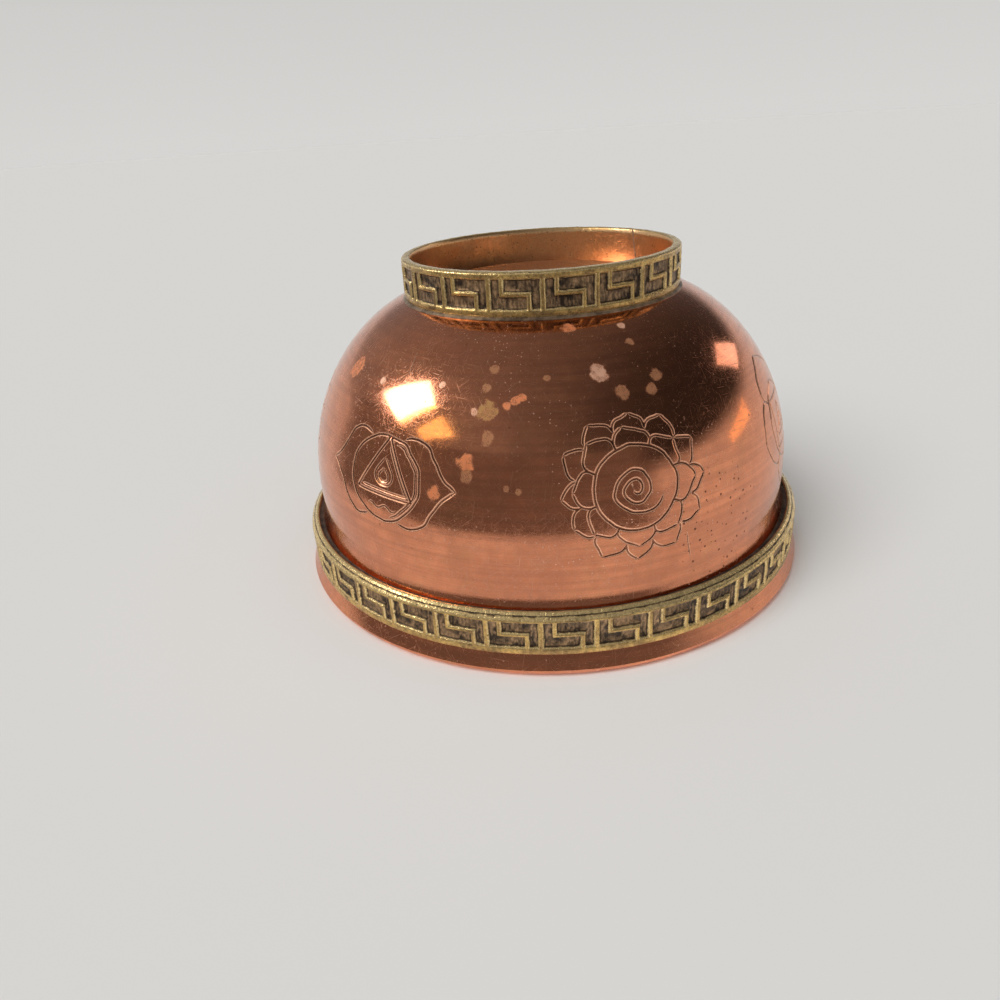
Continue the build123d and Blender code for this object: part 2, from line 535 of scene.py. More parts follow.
@dataclass(frozen=True)
class CopperFinish(Finish):
    """Polished copper, brown with age, with turning lines, scratches, stains, specks and dark grooves, and
    a painted highlight on the grooves' flanks.
    """

    name: str = "aged_copper"
    bump_depth: float = 0.012
    bright: Colour = (0.95, 0.355, 0.178)
    brown: Colour = (0.56, 0.205, 0.113)
    ochre: Colour = (0.60, 0.33, 0.13)
    speck_colour: Colour = (0.80, 0.58, 0.47)
    pit_colour: Colour = (0.13, 0.06, 0.04)
    flank_highlight_colour: Colour = (0.94, 0.55, 0.36)
    groove_colour: Colour = (0.17, 0.07, 0.04)
    polish: float = 0.06
    turning: tuple[float, float, float] = (0.03, 5.0, 1.0)
    spinning: tuple[float, float, float] = (0.035, 1.3, 1.0)
    closer: tuple[float, float, float] = (1.6, 1.6, 1.0)
    stains: tuple[Stain, ...] = ()
    stain_pull: float = 1.7
    stain_wear: float = 0.3
    worn_stain: float = 0.5
    sore_place: Vector = Vector((-20.8, -28.1, 28.9))
    sore_radius: float = 8.0

    def shader(self, sketch: Sketch) -> Skin:
        """Draw tarnish, stains, specks, pits and dark grooves over the bright metal, with a painted
        highlight on the grooves' flanks.

        Args:
            sketch: The material's tree.

        Returns:
            The sockets that the nodes put out.
        """
        place = self.place_in_mm(sketch)
        surface = self.surface_in_mm(sketch)
        tarnish = MOTTLE.place(sketch, vector=place, patch=11.0, cover=0.5)
        cloud = MOTTLE.place(sketch, vector=place, patch=1.6, cover=0.5)
        ochre = MOTTLE.place(sketch, vector=place, patch=5.0, cover=0.36)
        long = SCRATCHES.place(sketch, vector=surface, length=4.5, density=0.5)
        close = sketch.stretched(surface, self.closer)
        short = SCRATCHES.place(sketch, vector=close, length=2.5, density=0.6)
        scratch = sketch.most(long, sketch.times(short, 0.8))
        dusty = sketch.ramp(sketch.noise(place, scale=0.12, detail=2.0), low=0.40, high=0.62)
        specks = sketch.times(dusty, PITS.place(sketch, vector=surface, spacing=0.7, size=0.24))
        sore = SPOT.place(sketch, vector=place, centre=self.sore_place, radius=self.sore_radius, pull=0.0)
        sore_pits = PITS.place(sketch, vector=surface, spacing=0.85, size=0.36)
        pits = PITS.place(sketch, vector=surface, spacing=4.5, size=0.09)
        pits = sketch.most(pits, sketch.times(sore, sore_pits))
        lines = sketch.noise(sketch.stretched(surface, self.turning), detail=2.0)
        streaks = sketch.ramp(lines, low=0.42, high=0.62)
        rings = sketch.noise(sketch.stretched(surface, self.spinning), detail=4.0)
        rings = sketch.ramp(rings, low=0.40, high=0.66)
        groove = self.attribute(sketch, GROOVE)
        # Grooves are painted darker along their middles, and their flanks get a painted highlight.
        core = sketch.ramp(groove, low=0.38, high=0.75)
        flank_highlight = sketch.times(sketch.ramp(groove, low=0.02, high=0.2), sketch.rest(core))

        colour = sketch.lay(
            self.bright,
            (tarnish, 0.6, self.brown),
            (cloud, 0.3, self.brown),
            (streaks, 0.22, self.brown),
            (rings, 0.5, self.brown),
            (scratch, 0.2, self.speck_colour),
            (ochre, 0.3, self.ochre),
        )
        colour, stained = self.stain(sketch, place, colour)
        colour = sketch.lay(
            colour,
            (specks, 0.6, self.speck_colour),
            (pits, 0.8, self.pit_colour),
            (flank_highlight, 0.7, self.flank_highlight_colour),
            (core, 0.75, self.groove_colour),
        )
        marks = sketch.most(pits, specks)
        roughness = sketch.add_shares(
            self.polish,
            (cloud, 0.03),
            (tarnish, 0.02),
            (scratch, 0.27),
            (marks, 0.4),
            (stained, 0.3),
            (flank_highlight, 0.18),
        )
        height = sketch.add_shares(
            sketch.times(lines, 0.035), (cloud, 0.03), (scratch, -0.05), (pits, -0.8), (stained, 0.2)
        )
        dirt = sketch.most(stained, sketch.times(specks, 0.7))
        matt = sketch.most(sketch.times(dirt, 0.75), sketch.times(flank_highlight, 0.4))
        return Skin(colour, roughness, height, sketch.rest(matt))

    def stain(self, sketch: Sketch, place: Socket, colour: Socket) -> tuple[Socket, Any]:
        """Lay the stains over a colour, one tone after another.

        Args:
            sketch: The material's tree.
            place: Object coordinates in millimetres.
            colour: Colour of the metal under the stains.

        Returns:
            The stained colour, and a mask of all the stains.
        """
        waver = sketch.noise(place, scale=0.85, detail=2.5)
        pull = sketch.times(sketch.math("SUBTRACT", waver, 0.5), self.stain_pull)
        rubbed = sketch.ramp(sketch.noise(place, scale=1.4, detail=3.0), low=0.35, high=0.65)
        worn = sketch.add_shares(self.worn_stain, (rubbed, self.stain_wear))
        total: Any = 0.0
        for tone in Tone:
            mask: Any = 0.0
            for mark in (mark for mark in self.stains if mark.tone is tone):
                spot = SPOT.place(sketch, vector=place, centre=mark.centre, radius=mark.radius, pull=pull)
                mask = sketch.most(mask, spot)
            mask = sketch.times(mask, worn)
            colour = sketch.blend(mask, colour, tone.value)
            total = sketch.most(total, mask)
        return colour, total


@dataclass(frozen=True)
class BrassFinish(Finish):
    """Stamped brass: a painted highlight on its edges, painted shade at the foot of its walls, dull on its
    faces, brown and hatched in its hollows.
    """

    name: str = "worn_brass"
    bump_depth: float = 0.05
    # Colour of the painted highlight on the edges, and of the scratches.
    bright: Colour = (1.0, 0.75, 0.36)
    gold: Colour = (0.78, 0.51, 0.17)
    dull: Colour = (0.33, 0.20, 0.08)
    earth: Colour = (0.52, 0.32, 0.165)
    dark: Colour = (0.035, 0.022, 0.014)
    # Colour of the plain back: partly its own pinker tone, partly painted lighter for light on the foot
    # ring's inside.
    back: Colour = (0.95, 0.60, 0.34)
    roughness: float = 0.46
    metallic: float = 0.8
    hatch: tuple[float, float, float] = (2.6, 1.1, 1.0)

    def shader(self, sketch: Sketch) -> Skin:
        """Draw tarnish by the height of the relief, with hatching in its hollows and grime over all of it, a
        painted highlight on the relief's edges and painted shade in the corners at the foot of its walls.

        The relief is stored from 0 in the hollows to 1 on the face, and over 1 on the strip's plain back.

        Args:
            sketch: The material's tree.

        Returns:
            The sockets that the nodes put out.
        """
        place = self.place_in_mm(sketch)
        surface = self.surface_in_mm(sketch)
        relief = self.attribute(sketch, RELIEF)
        plain = sketch.ramp(relief, low=1.05, high=1.25)
        tarnish = MOTTLE.place(sketch, vector=place, patch=3.0, cover=0.5)
        tarnish = sketch.times(tarnish, sketch.add_shares(1.0, (plain, -0.6)))
        grain = MOTTLE.place(sketch, vector=place, patch=0.8, cover=0.5)
        soot = MOTTLE.place(sketch, vector=place, patch=4.5, cover=0.5)
        grime = sketch.ramp(sketch.noise(place, scale=3.2, detail=3.0), low=0.46, high=0.62)
        grime = sketch.times(grime, sketch.add_shares(1.0, (plain, -0.7)))
        pits = PITS.place(sketch, vector=surface, spacing=0.8, size=0.3)
        hatching = sketch.noise(sketch.stretched(surface, self.hatch), detail=3.0)
        hatched = sketch.ramp(hatching, low=0.38, high=0.58)

        uneven = sketch.math("MULTIPLY_ADD", sketch.math("SUBTRACT", grain, 0.5), 0.4, relief)
        raised = sketch.ramp(uneven, low=0.15, high=0.8)
        hollow = sketch.rest(raised)
        scratch = SCRATCHES.place(sketch, vector=surface, length=2.5, density=0.6)
        scratch = sketch.times(scratch, raised)
        # Painted highlight on the upper part of the relief's walls, and on the strip's bevels and edges.
        edge = sketch.times(sketch.ramp(uneven, low=0.3, high=0.7), sketch.ramp(relief, low=0.99, high=0.8))
        # Painted shade in the corners at the foot of the relief's walls, and along the bevel's scored line.
        corner = sketch.times(
            sketch.ramp(relief, low=0.01, high=0.12), sketch.ramp(relief, low=0.6, high=0.35)
        )
        dirt = sketch.most(pits, sketch.times(grime, 0.6))
        # The plain back is partly its own pinker colour and partly painted lighter, for the light on the
        # foot ring's inside.
        metal = sketch.lay(sketch.blend(tarnish, self.gold, self.dull), (plain, 0.75, self.back))
        shadow = sketch.math("MULTIPLY_ADD", hatched, 0.45, sketch.times(soot, 0.7), clamp=True)
        colour = sketch.lay(
            sketch.blend(raised, sketch.blend(shadow, self.earth, self.dark), metal),
            (corner, 0.8, self.dark),
            (edge, 0.9, self.bright),
            (scratch, 0.35, self.bright),
            (dirt, 0.5, self.dark),
        )

        roughness = sketch.add_shares(self.roughness, (raised, -0.16), (grime, 0.12), (edge, -0.12))
        grooves = sketch.times(hatching, hollow)
        height = sketch.times(sketch.noise(place, scale=2.0, detail=4.0), 0.8)
        height = sketch.add_shares(height, (grooves, 1.6), (scratch, -0.3), (pits, -0.5))
        height = sketch.times(height, sketch.add_shares(1.0, (plain, -0.5)))
        metallic = sketch.add_shares(self.metallic, (plain, 0.18), (hollow, -0.25))
        return Skin(colour, roughness, height, metallic)


@dataclass(frozen=True)
class SolderFinish(Finish):
    """Dull tarnished solder."""

    name: str = "dull_solder"
    bump_depth: float = 0.06
    pale: Colour = (0.74, 0.57, 0.43)
    dark: Colour = (0.40, 0.27, 0.18)
    roughness: float = 0.3
    metallic: float = 0.8

    def shader(self, sketch: Sketch) -> Skin:
        """Draw patches of tarnish on an uneven skin.

        Args:
            sketch: The material's tree.

        Returns:
            The sockets that the nodes put out.
        """
        place = self.place_in_mm(sketch)
        tarnish = MOTTLE.place(sketch, vector=place, patch=2.6, cover=0.5)
        colour = sketch.blend(tarnish, self.pale, self.dark)
        roughness = sketch.add_shares(self.roughness, (tarnish, 0.15))
        return Skin(colour, roughness, sketch.noise(place, scale=1.6, detail=3.0), self.metallic)


# Meshes


def make_piece(name: str, mesh: bpy.types.Mesh, slot: Slot, replaced: str) -> bpy.types.Object:
    """Put a finished mesh in the scene in place of a CAD node.

    Args:
        name: The piece's name.
        mesh: Its mesh, in metres in the frame.
        slot: The record's material slot for it, not used.
        replaced: The CAD node that it stands for.

    Returns:
        The new object.
    """
    piece = bpy.data.objects.new(name, mesh)
    bpy.context.scene.collection.objects.link(piece)
    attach(piece, BODY)
    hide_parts(replaced)
    log.info("%s: %d faces, stands for %s", name, len(mesh.polygons), replaced)
    return piece


def make_mesh(
    name: str, points: Sequence[Sequence[float]], faces: Sequence[Sequence[int]], sharp_angle: float
) -> bpy.types.Mesh:
    """Make a smooth-shaded mesh with sharp edges where it bends hard.

    Args:
        name: The mesh's name.
        points: Places of its vertices in millimetres.
        faces: Vertex numbers of its faces.
        sharp_angle: Bend in degrees past which an edge is sharp.

    Returns:
        The mesh, in metres.
    """
    mesh = bpy.data.meshes.new(name)
    mesh.from_pydata((np.asarray(points) * MM).tolist(), [], faces)
    mesh.polygons.foreach_set("use_smooth", [True] * len(mesh.polygons))
    mesh.set_sharp_from_angle(angle=radians(sharp_angle))
    mesh.validate()
    return mesh


def store_values(mesh: bpy.types.Mesh, name: str, values: Sequence[float]) -> None:
    """Store a value for each vertex of a mesh.

    Args:
        mesh: The mesh.
        name: The attribute's name, which its finish reads.
        values: One number for each vertex.
    """
    mesh.attributes.new(name, "FLOAT", "POINT").data.foreach_set("value", list(values))


def ellipse_points(centre: Point, reach: Point, start: float, end: float, steps: int) -> list[Point]:
    """Points along an arc of an ellipse, with angles in radians."""
    turns = np.linspace(start, end, steps)
    return [(centre[0] + reach[0] * cos(a), centre[1] + reach[1] * sin(a)) for a in turns]


def tangent_arc(start: Point, heading: Point, end: Point, steps: int) -> tuple[list[Point], Point]:
    """Draw the arc that leaves a point along a heading and ends at another point.

    Args:
        start: Where the arc starts.
        heading: Unit direction in which it leaves.
        end: Where it ends.
        steps: Number of points.

    Returns:
        The arc's points, and the unit direction in which it arrives.
    """
    across = (-heading[1], heading[0])
    run = (end[0] - start[0], end[1] - start[1])
    radius = (run[0] ** 2 + run[1] ** 2) / (2 * (run[0] * across[0] + run[1] * across[1]))
    centre = (start[0] + radius * across[0], start[1] + radius * across[1])
    first = atan2(start[1] - centre[1], start[0] - centre[0])
    last = atan2(end[1] - centre[1], end[0] - centre[0])
    sweep = (last - first) % tau if radius > 0 else -((first - last) % tau)
    side = 1 if radius > 0 else -1
    points = ellipse_points(centre, (abs(radius), abs(radius)), first, first + sweep, steps)
    return points, (-side * sin(last), side * cos(last))


@dataclass
class Contour:
    """The line of a round piece's section, measured along its length."""

    points: list[Point]

    def __post_init__(self) -> None:
        """Measure the line and find which way it faces."""
        line = np.array(self.points)
        steps = np.hypot(*np.diff(line, axis=0).T)
        line = line[np.concatenate([[True], steps > TINY])]
        self.radius, self.height = line.T
        self.length = np.concatenate([[0.0], np.cumsum(np.hypot(*np.diff(line, axis=0).T))])
        slope_r = np.gradient(self.radius, self.length)
        slope_z = np.gradient(self.height, self.length)
        size = np.hypot(slope_r, slope_z)
        self.face_r, self.face_z = slope_z / size, -slope_r / size

    def at(self, where: Any) -> tuple[np.ndarray, np.ndarray, np.ndarray, np.ndarray]:
        """Radius, height and facing at lengths along the line."""
        values = (self.radius, self.height, self.face_r, self.face_z)
        return tuple(np.interp(where, self.length, value) for value in values)

    def length_at(self, height: float) -> float:
        """Find where the line first rises to a height.

        Args:
            height: The height.

        Returns:
            Length along the line.
        """
        first = int(np.argmax(self.height >= height - TINY))
        pair = slice(first - 1, first + 1)
        return float(np.interp(height, self.height[pair], self.length[pair]))


# Engraving


@dataclass(frozen=True)
class Stroke:
    """One engraved line on a motif's own plane, in millimetres."""

    points: tuple[Point, ...]
    width: float = 0.54
    depth: float = 0.115
    closed: bool = False
    taper: float = 0.7


def bezier(first: Point, second: Point, third: Point, fourth: Point, steps: int = 24) -> list[Point]:
    """Points along a cubic curve.

    Args:
        first: Where it starts.
        second: The point that it leaves towards.
        third: The point that it arrives from.
        fourth: Where it ends.
        steps: Number of points.

    Returns:
        The points in order.
    """
    t = np.linspace(0, 1, steps)[:, None]
    corners = np.array([first, second, third, fourth])
    weights = np.hstack([(1 - t) ** 3, 3 * t * (1 - t) ** 2, 3 * t**2 * (1 - t), t**3])
    return [tuple(p) for p in weights @ corners]


def spiral(
    centre: Point, start: float, turns: float, large: float, small: float, steps: int
) -> list[Point]:
    """Points along a spiral that winds in.

    Args:
        centre: Its middle.
        start: Angle of its outer end in degrees.
        turns: Number of turns, negative for clockwise.
        large: Radius of its outer end.
        small: Radius of its inner end.
        steps: Number of points.

    Returns:
        The points, from the outer end.
    """
    share = np.linspace(0, 1, steps)
    angles = radians(start) + share * turns * tau
    reach = large + (small - large) * share
    return [(centre[0] + r * cos(a), centre[1] + r * sin(a)) for r, a in zip(reach, angles)]


@dataclass(frozen=True)
class Lotus:
    """One of the motifs engraved round the bowl: a ring of petals about a circle that holds a figure.

    Its hand is a number that makes its unevenness its own, and off_grid keeps the places that noise is read
    at off whole numbers. The sway and the shake of its lines are each a reach, a scale and a step by hand.
    """

    angle: float
    petals: int
    figure: Figure
    circle: Point = (5.0, 5.1)
    petal_tip: float = 9.0
    second_row: int = 0
    second_tip: float = 9.0
    hand: int = 1
    wing: tuple[Point, ...] = ((2.6, 5.1), (7.6, 7.1), (7.4, 1.2), (10.9, 0.0))
    keel: tuple[Point, ...] = ((0.0, 1.0), (0.75, 1.1), (0.66, 0.5), (1.0, 0.0))
    second_rise: float = 1.0
    cover_margin: float = 0.1
    shortest: int = 4
    tip_shift: float = 0.25
    tip_reach: float = 0.9
    valley_shift: float = 0.15
    off_grid: tuple[float, float, float] = (0.37, 0.41, 0.29)
    sway: tuple[float, float, float] = (0.24, 0.45, 7.3)
    shake: tuple[float, float, float] = (0.09, 1.1, 3.7)

    def strokes(self) -> list[Stroke]:
        """Draw the motif a little unsteadily, as by hand.

        Returns:
            All its lines.
        """
        lines = [Stroke(tuple(ellipse_points((0, 0), self.circle, 0, tau, 90)[:-1]), closed=True)]
        lines += self.wings() if self.petals == 2 else self.petal_lines()
        lines += FIGURES[self.figure](self.circle[0])
        return [self.unsteady(line) for line in lines]

    def wings(self) -> list[Stroke]:
        """Draw the two broad petals of a two-petalled lotus, each running out to a flame-like tip.

        Returns:
            The petals' lines, and the second line inside the circle.
        """
        lines = []
        for side in (-1, 1):
            for up in (-1, 1):
                half = bezier(*((side * x, up * y) for x, y in self.wing), steps=40)
                lines.append(Stroke(tuple(half)))
        inner = (self.circle[0] - 0.6, self.circle[1] - 0.55)
        doubled = ellipse_points((0, 0), inner, radians(105), radians(250), 50)
        return lines + [Stroke(tuple(doubled), width=0.42, depth=0.09)]

    def petal_lines(self) -> list[Stroke]:
        """Draw a front row of petals, and what shows of a row behind it where there is one.

        Returns:
            The petals' lines.
        """
        halves = self.petal_row(self.petals, self.circle[0], self.petal_tip)
        if self.second_row:
            turns, reaches = zip(*sorted((turn % tau, reach) for half in halves for turn, reach in half))
            valley = self.circle[0] + self.second_rise
            for half in self.petal_row(self.second_row, valley, self.second_tip):
                covered = np.interp([turn for turn, _ in half], turns, reaches, period=tau)
                over = covered + self.cover_margin
                shown = [place for place, hidden in zip(half, over) if place[1] > hidden]
                if len(shown) >= self.shortest:
                    halves.append(shown)
        squash = self.circle[1] / self.circle[0]
        curves = [tuple((r * cos(turn), r * sin(turn) * squash) for turn, r in half) for half in halves]
        return [Stroke(curve, width=0.46, depth=0.1, taper=0.3) for curve in curves]

    def petal_row(self, count: int, valley: float, tip: float) -> list[list[Point]]:
        """A ring of uneven keel-shaped petals.

        Args:
            count: Number of petals.
            valley: Radius of the valleys between them.
            tip: Radius of their tips.

        Returns:
            Angle and radius of the points along each half petal, from its valley to its tip.
        """
        pulls = []
        for index in range(count):
            place = [part + shift for part, shift in zip((index, count, self.hand), self.off_grid)]
            pulls.append(noise.noise_vector(Vector(place)))
        keel = bezier(*self.keel, steps=28)
        halves = []
        for index, pull in enumerate(pulls):
            middle = index + self.tip_shift * pull.x
            reach = tip + self.tip_reach * pull.y
            for side in (-1, 1):
                both = pull.z + pulls[(index + side) % count].z
                edge = index + side * 0.5 + self.valley_shift * both
                turns = (middle + across * (edge - middle) for _, across in keel)
                reaches = (valley + out * (reach - valley) for out, _ in keel)
                halves.append([(pi / 2 + turn * tau / count, r) for turn, r in zip(turns, reaches)])
        return halves

    def unsteady(self, line: Stroke) -> Stroke:
        """Let a line wander slightly.

        Args:
            line: The line as designed.

        Returns:
            The line as engraved.
        """
        moved = []
        for x, y in line.points:
            to_x, to_y = x, y
            for reach, scale, step in (self.sway, self.shake):
                pull = noise.noise_vector(Vector((x * scale, y * scale, self.hand * step)))
                to_x += reach * pull.x
                to_y += reach * pull.y
            moved.append((to_x, to_y))
        return replace(line, points=tuple(moved))


def ring_of_lines(corners: Sequence[Point], **style: float) -> list[Stroke]:
    """Straight lines between corners, back to the first."""
    pairs = zip(corners, [*corners[1:], corners[0]])
    return [Stroke((first, second), **style) for first, second in pairs]


def double_triangle(size: float, drop: float) -> list[Stroke]:
    """A triangle on its point, drawn twice, one inside the other.

    Args:
        size: Its reach.
        drop: How far it sits below the middle.

    Returns:
        Its lines.
    """
    lines = []
    for inset in (0.0, 0.75):
        half = (size - inset * 1.8) * 0.96
        top = 0.52 * size - inset - drop
        point = -0.98 * size + inset * 2 - drop
        corners = [(-half, top), (half, top), (0.0, point)]
        lines += ring_of_lines(corners, width=0.44, depth=0.095, taper=0.25)
    return lines


def drop_in_triangle(_size: float) -> list[Stroke]:
    """A triangle with a drop in it, and a small wave in the space over it.

    Args:
        _size: Radius of the circle about it, not used because it is drawn to fit one motif.

    Returns:
        Its lines.
    """
    lines = ring_of_lines([(-4.9, 2.3), (4.5, 1.9), (-0.6, -5.3)], taper=0.25)
    fine = {"width": 0.42, "depth": 0.09, "taper": 0.5}
    for pair in (((-4.2, 1.6), (3.6, 1.25)), ((-3.9, 1.5), (-0.7, -4.2))):
        lines.append(Stroke(pair, **fine))
    for scale in (1.0, 0.5):
        side = bezier((0.0, -2.4), (-0.5, -1.4), (-1.7, -0.9), (-1.5, 0.1))
        under = bezier((-1.5, 0.1), (-1.2, 1.3), (1.2, 1.3), (1.5, 0.1))
        back = [(-x, y) for x, y in side[::-1]]
        drop = [(x * scale - 0.2, y * scale - 0.15) for x, y in (*side, *under[1:], *back[1:])]
        lines.append(Stroke(tuple(drop), **fine))
    wave = [(x, 3.6 + 0.28 * sin(2.6 * x)) for x in np.linspace(-2.4, 2.4, 40)]
    lines.append(Stroke(tuple(wave), **fine))
    return lines


def curl_figure(_size: float) -> list[Stroke]:
    """One large curl that winds in from a long tail.

    Args:
        _size: Radius of the circle about it, not used because it is drawn to fit one motif.

    Returns:
        Its line.
    """
    curl = spiral((0.2, 0.1), start=75, turns=-2.2, large=2.7, small=0.35, steps=90)
    tail = bezier((-3.1, 1.3), (-2.9, 3.0), (-0.6, 3.4), curl[0])
    return [Stroke((*tail[:-1], *curl), width=0.5, depth=0.11, taper=0.6)]


def square_figure(size: float) -> list[Stroke]:
    """A square with a triangle on its point inside it.

    Args:
        size: Radius of the circle about it.

    Returns:
        Its lines.
    """
    half = size * 0.66
    square = ring_of_lines([(-half, -half), (half, -half), (half, half), (-half, half)], taper=0.25)
    return square + double_triangle(size * 0.55, drop=-0.3)


def crescent_figure(size: float) -> list[Stroke]:
    """A crescent moon on its back, as two arcs that share their ends.

    Args:
        size: Radius of the circle about it.

    Returns:
        Its lines.
    """
    lines = []
    for rise, reach, end in ((-0.1, 0.68, 44.1), (0.12, 0.55, 27.5)):
        span = (radians(180 - end), radians(360 + end))
        arc = ellipse_points((0, rise * size), (reach * size,) * 2, *span, steps=60)
        lines.append(Stroke(tuple(arc), width=0.46, depth=0.1, taper=0.4))
    return lines


def triangle_figure(size: float) -> list[Stroke]:
    """A plain double triangle on its point."""
    return double_triangle(size * 0.92, drop=0.0)


def star_figure(size: float) -> list[Stroke]:
    """Two triangles laid across each other.

    Args:
        size: Radius of the circle about them.

    Returns:
        Their lines.
    """
    reach = size * 0.88
    lines = []
    for start in (90, 270):
        turns = [radians(start + k * 120) for k in range(3)]
        lines += ring_of_lines([(reach * cos(turn), reach * sin(turn)) for turn in turns], taper=0.25)
    return lines


def disc_figure(size: float) -> list[Stroke]:
    """A triangle on its point about a small circle.

    Args:
        size: Radius of the circle about it.

    Returns:
        Its lines.
    """
    disc = ellipse_points((0, 0.6), (1.35, 1.35), 0, tau, 40)[:-1]
    ring = Stroke(tuple(disc), width=0.44, depth=0.095, closed=True)
    return double_triangle(size * 0.92, drop=0.0) + [ring]


FIGURES: dict[Figure, Callable[[float], list[Stroke]]] = {
    Figure.DROP: drop_in_triangle,
    Figure.CURL: curl_figure,
    Figure.SQUARE: square_figure,
    Figure.CRESCENT: crescent_figure,
    Figure.TRIANGLE: triangle_figure,
    Figure.STAR: star_figure,
    Figure.DISC: disc_figure,
}


def motifs() -> tuple[Lotus, ...]:
    """Set out what is engraved round the bowl.

    Returns:
        The seven motifs, each with its place in degrees.
    """
    return (
        Lotus(-53.4, 2, Figure.DROP, circle=(5.85, 5.3), hand=1),
        Lotus(
            -107.4,
            8,
            Figure.CURL,
            circle=(5.1, 5.0),
            petal_tip=7.5,
            second_row=12,
            second_tip=9.1,
            hand=2,
        ),
        Lotus(-159.5, 4, Figure.SQUARE, hand=3),
        Lotus(149.0, 6, Figure.CRESCENT, hand=4),
        Lotus(98.0, 10, Figure.TRIANGLE, hand=5),
        Lotus(46.5, 12, Figure.STAR, hand=6),
        Lotus(-4.5, 16, Figure.DISC, hand=7),
    )


@dataclass
class EngravedSurface:
    """A belt of a round surface, cut into triangles along the edges of its engraved lines."""

    contour: Contour
    low: float
    high: float
    seam: float
    columns: int
    row_step: float = 0.8
    step: float = 0.35
    clearance: float = 0.25
    unroll_radius: float = 34.0
    thinnest: float = 0.04
    taper_power: float = 0.6
    search_steps: float = 2.2
    weld: float = 1e-4
    samples: list[tuple[float, float, float, float]] = field(default_factory=list)
    runs: list[tuple[int, int, bool]] = field(default_factory=list)
    places: list[Point] = field(default_factory=list)
    edges: list[tuple[int, int]] = field(default_factory=list)

    def unrolled(self, angle: float, local: Point, middle: float) -> Point:
        """Place a point of a motif's plane on the unrolled belt.

        Args:
            angle: The motif's place round the bowl in degrees.
            local: The point on the motif's plane.
            middle: Length along the contour at the motif's centre.

        Returns:
            Distance round from the seam and length along the contour.
        """
        along = middle + local[1]
        radius = float(self.contour.at(along)[0])
        turn = (radians(angle - self.seam) + local[0] / radius) % tau
        return turn * self.unroll_radius, along

    def engrave(self, stroke: Stroke, angle: float, middle: float) -> None:
        """Add a line's middle and both its edges to the belt.

        Args:
            stroke: The line.
            angle: Its motif's place round the bowl in degrees.
            middle: Length along the contour at the motif's centre.
        """
        points = np.array([*stroke.points, *(stroke.points[:1] if stroke.closed else ())])
        measured = np.concatenate([[0.0], np.cumsum(np.hypot(*np.diff(points, axis=0).T))])
        count = max(3, ceil(measured[-1] / self.step) + 1)
        where = np.linspace(0, measured[-1], count)
        line = np.column_stack([np.interp(where, measured, points[:, axis]) for axis in (0, 1)])
        heading = np.gradient(line, axis=0)
        if stroke.closed:
            heading[0] = heading[-1] = line[1] - line[-2]
            full = np.ones(count)
        else:
            to_end = np.minimum(where, measured[-1] - where)
            full = np.clip(to_end / stroke.taper, self.thinnest, 1.0) ** self.taper_power
        heading /= np.hypot(*heading.T)[:, None]
        across = np.column_stack([-heading[:, 1], heading[:, 0]])
        if stroke.closed:
            line, across, full = line[:-1], across[:-1], full[:-1]
        start = len(self.samples)
        tracks: list[list[int]] = [[], [], []]
        for place, side, share in zip(line, across, full):
            half = share * stroke.width / 2
            for track, offset in enumerate((-half, 0.0, half)):
                tracks[track].append(len(self.places))
                self.places.append(self.unrolled(angle, tuple(place + side * offset), middle))
            self.samples.append((*self.places[tracks[1][-1]], half, share * stroke.depth))
        self.runs.append((start, len(self.samples), stroke.closed))
        for track in tracks:
            self.edges += zip(track, track[1:])
            if stroke.closed:
                self.edges.append((track[-1], track[0]))

    def next_sample(self) -> list[int]:
        """Find what follows each sample of a line.

        Returns:
            The number of the next sample along the line, or the sample's own at the end.
        """
        following = list(range(1, len(self.samples) + 1))
        for start, end, closed in self.runs:
            following[end - 1] = start if closed else end - 1
        return following

    def depth_at(self, tree: kdtree.KDTree, following: list[int], place: Point) -> tuple[float, float]:
        """Depth of the engraving at a place on the unrolled belt.

        Args:
            tree: Search tree of the lines' samples.
            following: The next sample of each one.
            place: The place.

        Returns:
            The depth, and its share of the line's full depth.
        """
        best = share = 0.0
        for _, index, _ in tree.find_range((*place, 0.0), self.search_steps * self.step):
            first = self.samples[index]
            second = self.samples[following[index]]
            run = (second[0] - first[0], second[1] - first[1])
            size = run[0] ** 2 + run[1] ** 2
            gap = (place[0] - first[0], place[1] - first[1])
            t = min(max((gap[0] * run[0] + gap[1] * run[1]) / size, 0.0), 1.0) if size else 0.0
            away = hypot(gap[0] - t * run[0], gap[1] - t * run[1])
            half = first[2] + t * (second[2] - first[2])
            inside = max(0.0, 1.0 - away / half)
            depth = inside * (first[3] + t * (second[3] - first[3]))
            if depth > best:
                best, share = depth, inside
        return best, share

    def triangulate(self) -> tuple[list[Point], list[tuple[float, float]], list[tuple[int, ...]]]:
        """Cut the belt into triangles.

        Returns:
            Places on the unrolled belt, the depth and share of depth at each, and the triangles.
        """
        tree = kdtree.KDTree(max(1, len(self.samples)))
        for index, sample in enumerate(self.samples):
            tree.insert((sample[0], sample[1], 0.0), index)
        tree.balance()
        width = tau * self.unroll_radius
        rows = max(2, round((self.high - self.low) / self.row_step))
        places = list(self.places)
        for row in range(rows + 1):
            along = self.low + (self.high - self.low) * row / rows
            inner = 0 < row < rows
            for column in range(self.columns + 1):
                round_it = width * column / self.columns
                if inner and 0 < column < self.columns and self.samples:
                    _, near, away = tree.find((round_it, along, 0.0))
                    if away < self.samples[near][2] + self.clearance:
                        continue
                places.append((round_it, along))
        found, _, faces, *_ = delaunay_2d_cdt([Vector(p) for p in places], self.edges, [], 0, self.weld)
        following = self.next_sample()
        flat = [(p.x, p.y) for p in found]
        depths = [self.depth_at(tree, following, place) for place in flat]
        return flat, depths, [tuple(face) for face in faces]


# Pieces


def spread(start: float, end: float, count: int) -> list[float]:
    """Evenly spaced values after a start, up to an end and with it."""
    return [float(value) for value in np.linspace(start, end, count + 1)[1:]]


